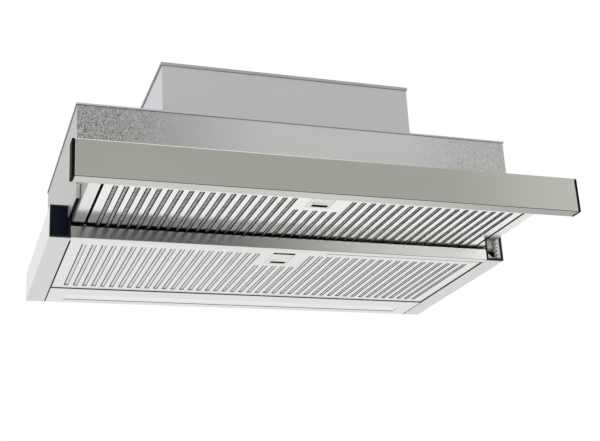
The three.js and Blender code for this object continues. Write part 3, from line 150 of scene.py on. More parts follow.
class Recipe:
    """The node tree of one material."""

    def __init__(self, name: str) -> None:
        """Makes an empty node material with its shader and output.

        Args:
            name: The material's name.
        """
        self.material = bpy.data.materials.new(name)
        self.material.use_nodes = True
        self.tree = self.material.node_tree
        self.tree.nodes.clear()
        self.shader = self.tree.nodes.new("ShaderNodeBsdfPrincipled")
        end = self.tree.nodes.new("ShaderNodeOutputMaterial")
        self.tree.links.new(self.shader.outputs[0], end.inputs[0])

    def node(self, kind: str, settings: dict[str, Any], values: dict[Any, Any], out: Any = 0) -> Wire:
        """Adds one node.

        Args:
            kind: The node's type.
            settings: Properties set before its sockets, such as a Math node's operation.
            values: Numbers, vectors or wires for its sockets, by name or index.
            out: Name or index of the output to return.

        Returns:
            The chosen output.
        """
        made = self.tree.nodes.new(kind)
        for key, value in settings.items():
            setattr(made, key, value)
        for key, value in values.items():
            self._feed(made.inputs[key], value)
        return Wire(self, made.outputs[out])

    def _feed(self, socket: Any, value: Any) -> None:
        """Links a wire to a socket, or sets the socket's own value.

        Args:
            socket: The input socket.
            value: A wire, a number, a vector or a colour without its alpha.
        """
        if isinstance(value, Wire):
            self.tree.links.new(value.socket, socket)
        elif socket.type == "RGBA":
            socket.default_value = (*value, 1.0)
        else:
            socket.default_value = value

    def place(self, scale: Sequence[float] = (1.0, 1.0, 1.0)) -> Wire:
        """Gives the point's place on the object, stretched.

        Args:
            scale: Factors along X, Y and Z.

        Returns:
            The scaled Object coordinates.
        """
        here = self.node("ShaderNodeTexCoord", {}, {}, "Object")
        return self.node("ShaderNodeMapping", {}, {"Vector": here, "Scale": tuple(scale)})

    def axis(self, name: str) -> Wire:
        """Gives one of the object coordinates, in metres."""
        here = self.node("ShaderNodeTexCoord", {}, {}, "Object")
        return self.node("ShaderNodeSeparateXYZ", {}, {0: here}, name)

    def noise(self, scale: Sequence[float], detail: float = 3.0) -> Wire:
        """Adds noise that is stretched by direction, about 0.5 in the middle.

        Args:
            scale: Waves per metre along X, Y and Z.
            detail: Octaves.

        Returns:
            The noise value.
        """
        values = {"Vector": self.place(scale), "Scale": 1.0, "Detail": detail}
        return self.node("ShaderNodeTexNoise", {}, values, 0)

    def crystals(self, scale: float, channel: int) -> Wire:
        """Adds cells that each have one random value.

        Args:
            scale: Cells per metre.
            channel: Which channel of the cells' random colour is read, from 0 to 2.

        Returns:
            The cells' values, from 0 to 1.
        """
        cells = self.node("ShaderNodeTexVoronoi", {}, {"Vector": self.place(), "Scale": scale}, "Color")
        return self.node("ShaderNodeSeparateColor", {}, {0: cells}, channel)

    def blend(self, share: Any, low: Any, high: Any) -> Wire:
        """Mixes two colours.

        Args:
            share: 0 gives low and 1 gives high.
            low: Colour or wire.
            high: Colour or wire.

        Returns:
            The mixed colour.
        """
        values = {0: share, 6: low, 7: high}
        return self.node("ShaderNodeMix", {"data_type": "RGBA"}, values, 2)

    def grey(self, value: Wire) -> Wire:
        """Turns a number into a grey colour."""
        return self.node("ShaderNodeCombineColor", {}, {0: value, 1: value, 2: value})

    def shade(self, colour: Colour, factor: Wire) -> Wire:
        """Makes a colour lighter or darker by a factor.

        Args:
            colour: The even colour.
            factor: About 1.

        Returns:
            The varied colour.
        """
        values = {0: 1.0, 6: colour, 7: self.grey(factor)}
        return self.node("ShaderNodeMix", {"data_type": "RGBA", "blend_type": "MULTIPLY"}, values, 2)

    def set(self, name: str, value: Any) -> None:
        """Sets or links one of the shader's sockets."""
        self._feed(self.shader.inputs[name], value)

    def bump(self, height: Wire, depth_mm: float, strength: float = 1.0) -> None:
        """Feeds a height into the shader's normal.

        Args:
            height: Height from 0 to 1.
            depth_mm: What a height of 1 stands for.
            strength: Share of the bump that shows.
        """
        values = {"Strength": strength, "Distance": depth_mm * MM, "Height": height}
        self.set("Normal", self.node("ShaderNodeBump", {}, values))


# ---------------------------------------------------------------------------- finishes


class Grain(Enum):
    """The way that a sheet was brushed, as streaks per metre along X, Y and Z."""

    ACROSS = (3.0, 900.0, 900.0)
    DEPTH = (900.0, 3.0, 900.0)


@dataclass(frozen=True)
class BrushedSheet:
    """Stainless sheet with a brushed grain.

    Streak and cloud are the shares by which the grain and the slow clouding change the colour. Ends
    are the colour's factors left and right of the turn, which is a stretch of X in metres: painted light
    and shade that make one end lighter or darker than the other. Dull is the roughness that the sheet
    gains across the turn.
    """

    name: str
    colour: Colour
    roughness: float
    grain: Grain
    streak: float = 0.03
    cloud: float = 0.02
    ends: tuple[float, float] = (1.0, 1.0)
    turn: tuple[float, float] = (-0.1, 0.1)
    dull: float = 0.0
    coarser: float = 5.0
    fine_share: float = 0.65

    def material(self) -> bpy.types.Material:
        """Makes the material.

        Returns:
            Steel with long fine streaks, slow clouding, painted light and shade from end to end and a
            grain in its bump.
        """
        recipe = Recipe(self.name)
        fine = recipe.noise(self.grain.value, 2.0)
        broad = recipe.noise(tuple(value / self.coarser for value in self.grain.value), 2.0)
        slow = recipe.noise((5.0, 5.0, 5.0), 2.0)
        line = fine * self.fine_share + broad * (1.0 - self.fine_share)
        factor = (line - 0.5) * (2 * self.streak) + (slow - 0.5) * (2 * self.cloud) + 1.0
        # painted light and shade: the colour's factor goes from one end's value to the other's across the
        # turn
        factor = factor * recipe.axis("X").ramp(*self.turn, *self.ends)
        recipe.set("Base Color", recipe.shade(self.colour, factor))
        recipe.set("Metallic", 1.0)
        dulling = recipe.axis("X").ramp(*self.turn, 0.0, self.dull)
        recipe.set("Roughness", (line - 0.5) * 0.16 + dulling + self.roughness)
        recipe.bump(line, 0.02, 0.35)
        return recipe.material


@dataclass(frozen=True)
class GalvanisedSheet:
    """Zinc-coated sheet with a fine spangle.

    Sparkle is the spangle's strength at the ends. Painted darkening is the share by which painted shade
    darkens the left end, and the right end a little. The three stretches of X, in metres, say where
    these come and go.
    """

    name: str
    colour: Colour
    roughness: float = 0.42
    sparkle: float = 0.25
    painted_darkening: float = 0.0
    left: tuple[float, float] = (-0.26, -0.12)
    right: tuple[float, float] = (0.12, 0.24)
    shaded: tuple[float, float] = (-0.26, -0.02)
    crystals: float = 450.0
    flakes: float = 1350.0

    def material(self) -> bpy.types.Material:
        """Makes the material.

        Returns:
            Metal with small crystals, livelier ends that painted shade can darken, and slow clouding.
        """
        recipe = Recipe(self.name)
        crystal = recipe.crystals(self.crystals, 0)
        flake = recipe.crystals(self.flakes, 1)
        slow = recipe.noise((6.0, 6.0, 6.0), 3.0)
        left_end = recipe.axis("X").ramp(*self.left, 1.0, 0.0)
        right_end = recipe.axis("X").ramp(*self.right)
        lively = (left_end + right_end * 0.6) * self.sparkle + 0.1
        grains = (flake - 0.5) * 0.6 + (crystal - 0.5) * 0.08
        # painted shade: darkens the left end, and the right end a little
        shade = (recipe.axis("X").ramp(*self.shaded, 1.0, 0.0) + right_end * 0.4) * self.painted_darkening
        factor = grains * lively + (slow - 0.5) * 0.07 - shade + 1.0
        recipe.set("Base Color", recipe.shade(self.colour, factor))
        recipe.set("Metallic", 0.85)
        recipe.set("Roughness", grains * lively * 0.3 + self.roughness)
        recipe.bump(flake * 0.5 + crystal * 0.5, 0.015, 0.25)
        return recipe.material


@dataclass(frozen=True)
class PlatedPart:
    """Zinc-plated or bare machined steel."""

    name: str
    colour: Colour
    roughness: float = 0.35

    def material(self) -> bpy.types.Material:
        """Makes the material.

        Returns:
            Metal with faint mottling and fine scratches.
        """
        recipe = Recipe(self.name)
        mottle = recipe.noise((90.0, 90.0, 90.0), 4.0)
        scratch = recipe.noise((1200.0, 60.0, 1200.0), 2.0)
        factor = (mottle - 0.5) * 0.22 + (scratch - 0.5) * 0.08 + 1.0
        recipe.set("Base Color", recipe.shade(self.colour, factor))
        recipe.set("Metallic", 1.0)
        recipe.set("Roughness", (mottle - 0.5) * 0.2 + self.roughness)
        recipe.bump(scratch, 0.02, 0.3)
        return recipe.material


@dataclass(frozen=True)
class MouldedPlastic:
    """Moulded plastic with a spark-eroded grain, whose depth is in millimetres."""

    name: str
    colour: Colour
    roughness: float
    grain: float = 0.03
    sheen: float = 0.5

    def material(self) -> bpy.types.Material:
        """Makes the material.

        Returns:
            Plastic with a fine grain and a slight change of sheen.
        """
        recipe = Recipe(self.name)
        pits = recipe.noise((1800.0, 1800.0, 1800.0), 2.0)
        slow = recipe.noise((30.0, 30.0, 30.0), 2.0)
        factor = (slow - 0.5) * 0.12 + (pits - 0.5) * 0.06 + 1.0
        recipe.set("Base Color", recipe.shade(self.colour, factor))
        recipe.set("Roughness", (slow - 0.5) * 0.1 + self.roughness)
        recipe.set("Specular IOR Level", self.sheen)
        recipe.bump(pits, self.grain, 0.5)
        return recipe.material


@dataclass(frozen=True)
class DarkGlass:
    """The touch panel's dark printed glass."""

    name: str
    colour: Colour
    sheen: float = 0.05

    def material(self) -> bpy.types.Material:
        """Makes the material.

        Returns:
            A near-black gloss with faint smears.
        """
        recipe = Recipe(self.name)
        smear = recipe.noise((60.0, 60.0, 140.0), 3.0)
        recipe.set("Base Color", recipe.shade(self.colour, (smear - 0.5) * 0.2 + 1.0))
        recipe.set("Roughness", smear.ramp(0.4, 0.8, 0.05, 0.14))
        recipe.set("Specular IOR Level", self.sheen)
        recipe.bump(smear, 0.01, 0.2)
        return recipe.material


@dataclass(frozen=True)
class ExpandedMesh:
    """Layered aluminium mesh: wires in two slanting directions, with the holes between them painted one
    flat colour: painted shade where it is dark, painted light where it is pale.

    Speckle is the share by which the wires' brightness changes, and thin takes width off them.
    """

    name: str
    colour: Colour
    gap: Colour
    pitch_mm: float = 2.6
    speckle: float = 0.5
    thin: float = 0.1
    slant: float = 0.62

    def material(self) -> bpy.types.Material:
        """Makes the material.

        Returns:
            Bright wires over holes painted one flat colour, with a bump that rounds the wires.
        """
        recipe = Recipe(self.name)
        x, y = recipe.axis("X"), recipe.axis("Y")
        turns = 2 * math.pi / (self.pitch_mm * MM)
        wobble = (recipe.noise((140.0, 140.0, 140.0), 2.0) - 0.5) * 2.4
        one = ((x * self.slant + y) * turns + wobble).sine()
        two = ((x * self.slant - y) * turns - wobble).sine()
        wire = one.most(two).ramp(self.thin, 0.95)
        tint = recipe.noise((60.0, 60.0, 60.0), 2.0)
        lit = recipe.shade(self.colour, (tint - 0.5) * (2 * self.speckle) + 1.0)
        # the holes get one flat colour: painted shade when it is dark, painted light when it is pale
        recipe.set("Base Color", recipe.blend(wire, self.gap, lit))
        recipe.set("Metallic", 0.7)
        recipe.set("Roughness", wire.ramp(0.0, 1.0, 0.7, 0.38))
        recipe.bump(wire, 0.5, 0.8)
        return recipe.material


@dataclass(frozen=True)
class FrostedLens:
    """The lamp's frosted cover with fine ribs along its length."""

    name: str
    colour: Colour
    rib_mm: float = 1.6

    def material(self) -> bpy.types.Material:
        """Makes the material.

        Returns:
            Translucent white plastic with ribs.
        """
        recipe = Recipe(self.name)
        rib = (recipe.axis("Y") * (2 * math.pi / (self.rib_mm * MM))).sine() * 0.5 + 0.5
        slow = recipe.noise((25.0, 25.0, 25.0), 2.0)
        recipe.set("Base Color", recipe.shade(self.colour, (slow - 0.5) * 0.05 + 1.0))
        recipe.set("Roughness", (slow - 0.5) * 0.1 + 0.35)
        recipe.set("Subsurface Weight", 0.15)
        recipe.set("Subsurface Radius", (0.004, 0.004, 0.004))
        recipe.bump(rib, 0.15, 0.5)
        return recipe.material


@dataclass(frozen=True)
class CircuitBoard:
    """A lacquered board with tracks."""

    name: str
    colour: Colour
    track: Colour
    rows: float = 300.0

    def material(self) -> bpy.types.Material:
        """Makes the material.

        Returns:
            Green lacquer over straight copper tracks.
        """
        recipe = Recipe(self.name)
        values = {"Vector": recipe.place((self.rows, self.rows, self.rows)), "Scale": 1.0}
        line = recipe.node("ShaderNodeTexBrick", {}, values, 1).ramp(0.2, 0.8)
        recipe.set("Base Color", recipe.blend(line * 0.6, self.colour, self.track))
        recipe.set("Roughness", line.ramp(0.0, 1.0, 0.25, 0.4))
        recipe.bump(line, 0.05, 0.6)
        return recipe.material


class Finish(Enum):
    """Every finish on the hood, with the record's material slot that it stands for."""

    GALVANISED = ("galvanised", GalvanisedSheet("galvanised_sheet", (0.45, 0.465, 0.447)))
    # The body's front, with painted shade darkening its left end.
    SPANGLED = ("galvanised", GalvanisedSheet("spangled_front", (0.5, 0.515, 0.495), sparkle=1.7, painted_darkening=0.42))
    # A lighter copy of the galvanised sheet: painted light on the motor box's left side.
    BRIGHT_SIDE = ("galvanised", GalvanisedSheet("galvanised_painted_light", (0.56, 0.575, 0.6), 0.36, 0.1))
    # A darker copy of the galvanised sheet: painted shade on the lid's sides, the right member's lip and the
    # crossbar's front corner.
    HEM = ("galvanised", GalvanisedSheet("galvanised_painted_shade", (0.34, 0.35, 0.335), sparkle=0.1))
    # The fascia's front, partly darkened as painted shade, with painted reflection brightening its right
    # end.
    FASCIA = (
        "stainless",
        BrushedSheet(
            "fascia_steel",
            (0.35, 0.35, 0.316),
            0.3,
            Grain.ACROSS,
            streak=0.06,
            cloud=0.05,
            ends=(1.0, 1.38),
            turn=(0.1, 0.3),
        ),
    )
    # A lighter copy of the fascia's steel for its underside: painted light from below, darker towards the
    # right as painted shade.
    FASCIA_LIP = (
        "stainless",
        BrushedSheet(
            "fascia_underside_painted_light",
            (0.64, 0.64, 0.6),
            0.3,
            Grain.ACROSS,
            streak=0.05,
            cloud=0.04,
            ends=(1.0, 0.6),
            turn=(0.0, 0.28),
        ),
    )
    # Near-white steel for a thin strip along the fascia's top corner: a painted highlight, weaker towards
    # the right.
    TOP_LINE = (
        "stainless",
        BrushedSheet(
            "top_edge_painted_highlight",
            (0.9, 0.9, 0.86),
            0.4,
            Grain.ACROSS,
            streak=0.05,
            cloud=0.04,
            ends=(1.0, 0.45),
            turn=(-0.1, 0.2),
        ),
    )
    # The crossbar's front: painted shade darkens its left end, and painted reflection brightens its right
    # end.
    CROSSBAR = (
        "stainless",
        BrushedSheet(
            "crossbar_steel",
            (0.96, 0.96, 0.93),
            0.2,
            Grain.ACROSS,
            cloud=0.04,
            ends=(0.22, 1.0),
            turn=(-0.18, 0.2),
            dull=0.5,
        ),
    )
    # The three frame steels below are partly their own colour and partly painted light: lighter than the
    # fascia's front, for undersides lit from below.
    FRAME_ACROSS = ("stainless", BrushedSheet("frame_steel_across", (0.82, 0.82, 0.8), 0.28, Grain.ACROSS))
    FRAME_DEPTH = ("stainless", BrushedSheet("frame_steel_depth", (0.72, 0.725, 0.71), 0.3, Grain.DEPTH))
    TRAY_FRAME = ("stainless", BrushedSheet("tray_arm_steel", (0.86, 0.86, 0.845), 0.17, Grain.DEPTH))
    # A darker copy of the tray arm steel: painted shade on the arms' outer sides.
    ARM_SIDE = (
        "stainless",
        BrushedSheet("arm_side_painted_shade", (0.34, 0.34, 0.33), 0.45, Grain.DEPTH, streak=0.04, cloud=0.03),
    )
    # Near-black steel that stands for shade: painted shade in gaps, on lips and on faces turned from the
    # light.
    FOLD = ("stainless", BrushedSheet("painted_shade_steel", (0.05, 0.05, 0.05), 0.5, Grain.DEPTH))
    FILTER = ("filter_steel", BrushedSheet("filter_sheet", (0.86, 0.86, 0.845), 0.3, Grain.DEPTH))
    TRAY_STEEL = ("filter_steel", BrushedSheet("tray_filter_sheet", (0.95, 0.95, 0.94), 0.16, Grain.DEPTH))
    # Near-black steel that paints the shade in the slots: on their walls, on the strips beside them and in
    # the latch's finger hole.
    SLOT_EDGE = ("filter_steel", BrushedSheet("slot_painted_shade", (0.008, 0.008, 0.008), 0.6, Grain.DEPTH))
    LATCH = ("filter_steel", BrushedSheet("latch_plate", (0.83, 0.83, 0.8), 0.26, Grain.ACROSS, 0.04))
    ZINC = ("zinc", PlatedPart("zinc_plate", (0.66, 0.67, 0.68)))
    MOTOR = ("motor_steel", PlatedPart("laminated_steel", (0.3, 0.3, 0.31), 0.45))
    MESH = ("mesh", ExpandedMesh("expanded_mesh", (0.62, 0.62, 0.61), (0.1, 0.1, 0.1)))
    # A lit copy of the mesh face for the fixed filter: painted light, its holes pale.
    BRIGHT_MESH = (
        "mesh",
        ExpandedMesh("mesh_face_painted_light", (0.97, 0.97, 0.95), (0.72, 0.72, 0.71), pitch_mm=2.0, speckle=0.15),
    )
    # A shaded copy of the mesh face for the tray's filter: painted shade, its holes black.
    DARK_MESH = (
        "mesh",
        ExpandedMesh("mesh_face_painted_shade", (0.95, 0.95, 0.94), (0.01, 0.01, 0.01), pitch_mm=4.4, thin=0.4),
    )
    # Black plastic; the same black also paints the shade in the latch pockets.
    BLACK = ("black", MouldedPlastic("black_plastic_and_pocket_shade", (0.008, 0.009, 0.012), 0.38, sheen=0.18))
    GLOSS_BLACK = ("black", MouldedPlastic("glossy_black_cap", (0.004, 0.004, 0.005), 0.5, 0.01, 0.02))
    # Matt black that paints the shade in narrow gaps: beside the filters and at the rear strip's ends.
    RUBBER = ("black", MouldedPlastic("gap_painted_shade", (0.004, 0.004, 0.004), 0.85, 0.01, 0.0))
    TOUCH = ("touch_glass", DarkGlass("touch_panel_glass", (0.003, 0.0045, 0.011)))
    GREY = ("grey", MouldedPlastic("grey_plastic", (0.2, 0.21, 0.22), 0.5))
    WHITE = ("white", MouldedPlastic("white_plastic", (0.84, 0.85, 0.83), 0.42))
    LENS = ("lens", FrostedLens("lamp_cover", (0.85, 0.87, 0.86)))
    BOARD = ("board", CircuitBoard("circuit_board", (0.01, 0.11, 0.045), (0.02, 0.22, 0.08)))

    @property
    def slot(self) -> str:
        """The material slot's name in the record."""
        return self.value[0]

    def material(self) -> bpy.types.Material:
        """The finish's material, made once."""
        name = self.value[1].name
        return bpy.data.materials.get(name) or self.value[1].material()


# ---------------------------------------------------------------------------- mesh helpers


def packed(name: str) -> bpy.types.Object:
    """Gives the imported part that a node's name stands for."""
    return FRAME["nodes"][name]


def merged(name: str) -> bmesh.types.BMesh:
    """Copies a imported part's mesh and joins its loose triangles.

    Args:
        name: The part's node name.

    Returns:
        The copy.
    """
    mesh = bmesh.new()
    mesh.from_mesh(packed(name).data)
    bmesh.ops.remove_doubles(mesh, verts=mesh.verts, dist=SAME_PLACE)
    return mesh


def flattened(name: str) -> bmesh.types.BMesh:
    """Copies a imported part's mesh with one face for each of its flat stretches.

    Args:
        name: The part's node name.

    Returns:
        The copy.
    """
    mesh = merged(name)
    limit = math.radians(FLAT_ANGLE)
    bmesh.ops.dissolve_limit(mesh, angle_limit=limit, verts=mesh.verts, edges=mesh.edges)
    return mesh


def dress(piece: bpy.types.Object, finish: Finish) -> None:
    """Gives a piece one finish all over."""
    piece.data.materials.clear()
    piece.data.materials.append(finish.material())


def finished(name: str, mesh: bmesh.types.BMesh, finish: Finish, body: str) -> bpy.types.Object:
    """Turns a bmesh into a piece of the hood.

    Args:
        name: The piece's name.
        mesh: Its shape, which is freed.
        finish: Its finish.
        body: The body that it moves with.

    Returns:
        The new object, at the origin.
    """
    data = bpy.data.meshes.new(name)
    mesh.to_mesh(data)
    mesh.free()
    piece = bpy.data.objects.new(name, data)
    bpy.context.scene.collection.objects.link(piece)
    dress(piece, finish)
    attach(piece, body)
    LOG.info("%s: %d faces, %s", name, len(data.polygons), finish.name)
    return piece


def smooth(piece: bpy.types.Object, angle: float = SHARP_ANGLE) -> None:
    """Shades a piece smooth except across its sharp edges.

    Args:
        piece: The piece.
        angle: Degrees between two faces from which their edge is sharp.
    """
    for face in piece.data.polygons:
        face.use_smooth = True
    piece.data.set_sharp_from_angle(angle=math.radians(angle))


def soften(piece: bpy.types.Object, width_mm: float, segments: int) -> None:
    """Rounds a piece's sharp edges with a Bevel modifier.

    Args:
        piece: The piece.
        width_mm: Width of the rounding.
        segments: Faces across it.
    """
    bevel = piece.modifiers.new("rounded_edges", "BEVEL")
    bevel.width = width_mm * MM
    bevel.segments = segments
    bevel.limit_method = "ANGLE"
    bevel.angle_limit = math.radians(SHARP_ANGLE)
    bevel.use_clamp_overlap = True
    bevel.harden_normals = False
    smooth(piece)


def refined(name: str, finish: Finish, body: str, width_mm: float, segments: int = 2) -> bpy.types.Object:
    """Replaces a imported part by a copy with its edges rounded.

    Args:
        name: The part's node name.
        finish: Its finish.
        body: The body that it moves with.
        width_mm: Width of the rounding.
        segments: Faces across the rounding.

    Returns:
        The copy.
    """
    piece = finished(f"{name}_sheet", flattened(name), finish, body)
    soften(piece, width_mm, segments)
    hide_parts(name)
    return piece


def reface(piece: bpy.types.Object, finish: Finish, chosen: Callable[[Vector, Vector], bool]) -> None:
    """Gives some of a piece's faces another finish.

    Args:
        piece: The piece.
        finish: The other finish.
        chosen: Says from a face's middle and its normal whether it is one of them.
    """
    piece.data.materials.append(finish.material())
    number = len(piece.data.materials) - 1
    for face in piece.data.polygons:
        if chosen(face.center, face.normal):
            face.material_index = number


def inward(place: Vector, normal: Vector) -> float:
    """Says how much a face looks towards the hood's middle plane.

    Args:
        place: The face's middle.
        normal: Its normal.

    Returns:
        1 where it looks straight at the plane and -1 where it looks straight away from it.
    """
    return -normal.x * math.copysign(1.0, place.x)


def cut(piece: bpy.types.Object, place: Sequence[float], normal: Sequence[float]) -> None:
    """Splits a piece's faces along a plane, so that a band of them can take another finish.

    Args:
        piece: The piece.
        place: A place on the plane, in metres.
        normal: The plane's normal.
    """
    mesh = bmesh.new()
    mesh.from_mesh(piece.data)
    whole = [*mesh.verts, *mesh.edges, *mesh.faces]
    bmesh.ops.bisect_plane(mesh, geom=whole, plane_co=place, plane_no=normal)
    mesh.to_mesh(piece.data)
    mesh.free()


def block(mesh: bmesh.types.BMesh, low: Sequence[float], high: Sequence[float]) -> None:
    """Adds a box between two corners.

    Args:
        mesh: The bmesh to add to.
        low: Lowest corner, in metres.
        high: Highest corner, in metres.
    """
    size = [h - l for l, h in zip(low, high)]
    middle = [(h + l) / 2 for l, h in zip(low, high)]
    matrix = Matrix.Translation(middle) @ Matrix.Diagonal((*size, 1.0))
    bmesh.ops.create_cube(mesh, size=1.0, matrix=matrix)


def strip(name: str, low: Sequence[float], high: Sequence[float], finish: Finish, body: str) -> None:
    """Adds a plain strip as a piece of its own.

    Args:
        name: Its name.
        low: Lowest corner, in metres.
        high: Highest corner, in metres.
        finish: Its finish.
        body: The body that it moves with.
    """
    mesh = bmesh.new()
    block(mesh, low, high)
    finished(name, mesh, finish, body)


# ---------------------------------------------------------------------------- sub-assemblies


@dataclass(frozen=True)
class PanScrew:
    """The head of a pan-head screw with a round recess."""

    radius_mm: float = 3.2
    height_mm: float = 1.3
    crown_share: float = 0.72
    rim_share: float = 0.2
    land_share: float = 0.22
    dish_mm: float = 0.12
    recess_mm: float = 0.6
    sides: int = 20

    def add(self, mesh: bmesh.types.BMesh, seat: Sequence[float], outward: Sequence[float]) -> None:
        """Adds one screw head.

        Args:
            mesh: The bmesh to add to.
            seat: Where the head's underside rests.
            outward: Direction that the head faces.
        """
        radius, height = self.radius_mm * MM, self.height_mm * MM
        turn = Vector(outward).to_track_quat("Z", "Y").to_matrix().to_4x4()
        made = bmesh.ops.create_cone(
            mesh,
            cap_ends=True,
            segments=self.sides,
            radius1=radius,
            radius2=radius * self.crown_share,
            depth=height,
            matrix=Matrix.Translation(seat) @ turn @ Matrix.Translation((0, 0, height / 2)),
        )
        top = max(
            {face for corner in made["verts"] for face in corner.link_faces},
            key=lambda face: face.calc_center_median().dot(Vector(outward)),
        )
        rim, land = radius * self.rim_share, radius * self.land_share
        bmesh.ops.inset_individual(mesh, faces=[top], thickness=rim, depth=self.dish_mm * MM)
        bmesh.ops.inset_individual(mesh, faces=[top], thickness=land)
        for corner in top.verts:
            corner.co -= Vector(outward) * self.recess_mm * MM


@dataclass(frozen=True)
class RivetPair:
    """Two sunk rivets, one above the other, near the front edge of a sheet that faces left."""

    node: str
    radius_mm: float
    inset_mm: float
    drops_mm: tuple[float, float]
    depth_mm: float = 0.3
    sunk_share: float = 0.4
    sides: int = 12

    def add(self, mesh: bmesh.types.BMesh) -> None:
        """Adds the two rivets.

        Args:
            mesh: The bmesh to add to.
        """
        low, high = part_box(self.node)
        depth = self.depth_mm * MM
        x, y = low.x + depth * self.sunk_share, low.y + self.inset_mm * MM
        for drop_mm in self.drops_mm:
            place = Matrix.Translation((x, y, high.z - drop_mm * MM))
            bmesh.ops.create_cone(
                mesh,
                cap_ends=True,
                segments=self.sides,
                radius1=self.radius_mm * MM,
                radius2=self.radius_mm * MM,
                depth=depth,
                matrix=place @ Matrix.Rotation(math.pi / 2, 4, "Y"),
            )


@dataclass
class UpperBody:
    """The galvanised body and the motor box above it."""

    panel_edge_mm: float = 0.35
    lid_edge_mm: float = 0.25
    rivets: tuple[RivetPair, ...] = (
        RivetPair("left_side_panel", 0.9, 4.0, (15.0, 18.5)),
        RivetPair("motor_box_wrap", 0.8, 3.0, (14.0, 17.5)),
    )
    screw: PanScrew = PanScrew()
    screw_smoothing: float = 40.0
    screw_inset_mm: float = 12.0
    lid_rear_inset_mm: float = 10.0
    top_end_inset_mm: float = 20.0
    top_inner_mm: float = 200.0

    def build(self) -> None:
        """Rounds the sheets and adds their screws and rivets."""
        for name in ("left_side_panel", "right_side_panel", "back_panel", "motor_box_back"):
            refined(name, Finish.GALVANISED, "hood", self.panel_edge_mm)
        refined("front_panel", Finish.SPANGLED, "hood", self.panel_edge_mm)
        wrap = refined("motor_box_wrap", Finish.GALVANISED, "hood", self.panel_edge_mm)
        # painted light: the motor box's left side takes a lighter copy of the galvanised sheet
        reface(wrap, Finish.BRIGHT_SIDE, lambda place, normal: normal.x < -FACING and place.x < 0)
        refined("top_panel", Finish.GALVANISED, "hood", self.lid_edge_mm)
        lid = refined("motor_box_lid", Finish.GALVANISED, "hood", self.lid_edge_mm)
        # painted shade: the lid's sides take a darker copy of the galvanised sheet
        reface(lid, Finish.HEM, lambda place, normal: abs(normal.z) < 0.5)
        self._screws()
        self._rivets()

    def _screws(self) -> None:
        """Adds the screws of both lids, but none where the collar stands in the way."""
        mesh = bmesh.new()
        inset = self.screw_inset_mm * MM
        low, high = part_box("top_panel")
        end, inner = self.top_end_inset_mm * MM, self.top_inner_mm * MM
        for x in (low.x + end, -inner, inner, high.x - end):
            for y in (low.y + inset, high.y - inset):
                self.screw.add(mesh, (x, y, high.z), UP)
        low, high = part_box("motor_box_lid")
        rear = high.y - self.lid_rear_inset_mm * MM
        for x in (low.x + inset, 0.0, high.x - inset):
            self.screw.add(mesh, (x, low.y + inset, high.z), UP)
        for x in (low.x + inset, high.x - inset):
            self.screw.add(mesh, (x, rear, high.z), UP)
        smooth(finished("panel_screws", mesh, Finish.ZINC, "hood"), self.screw_smoothing)

    def _rivets(self) -> None:
        """Adds the sunk rivets of the left sides."""
        mesh = bmesh.new()
        for pair in self.rivets:
            pair.add(mesh)
        finished("side_rivets", mesh, Finish.BLACK, "hood")


@dataclass
class Outlet:
    """The round collar with its non-return flaps."""

    collar_edge_mm: float = 0.5
    flap_edge_mm: float = 0.2

    def build(self) -> None:
        """Dresses the collar, its flaps and their pin."""
        refined("outlet_collar", Finish.BLACK, "hood", self.collar_edge_mm)
        refined("right_flap", Finish.GREY, "flap_right", self.flap_edge_mm)
        refined("left_flap", Finish.GREY, "flap_left", self.flap_edge_mm)
        dress(packed("flap_pin"), Finish.ZINC)


@dataclass
class Blower:
    """The parts inside the body."""

    gland_edge_mm: float = 0.4

    def build(self) -> None:
        """Dresses the blower's parts."""
        finishes = {
            "scroll_housing": Finish.ZINC,
            "motor_shaft": Finish.ZINC,
            "motor_bracket": Finish.ZINC,
            "motor": Finish.MOTOR,
            "impeller": Finish.GREY,
            "capacitor": Finish.WHITE,
            "terminal_box": Finish.GREY,
            "terminal_cover": Finish.GREY,
        }
        for name, finish in finishes.items():
            dress(packed(name), finish)
        refined("cable_gland", Finish.BLACK, "hood", self.gland_edge_mm)


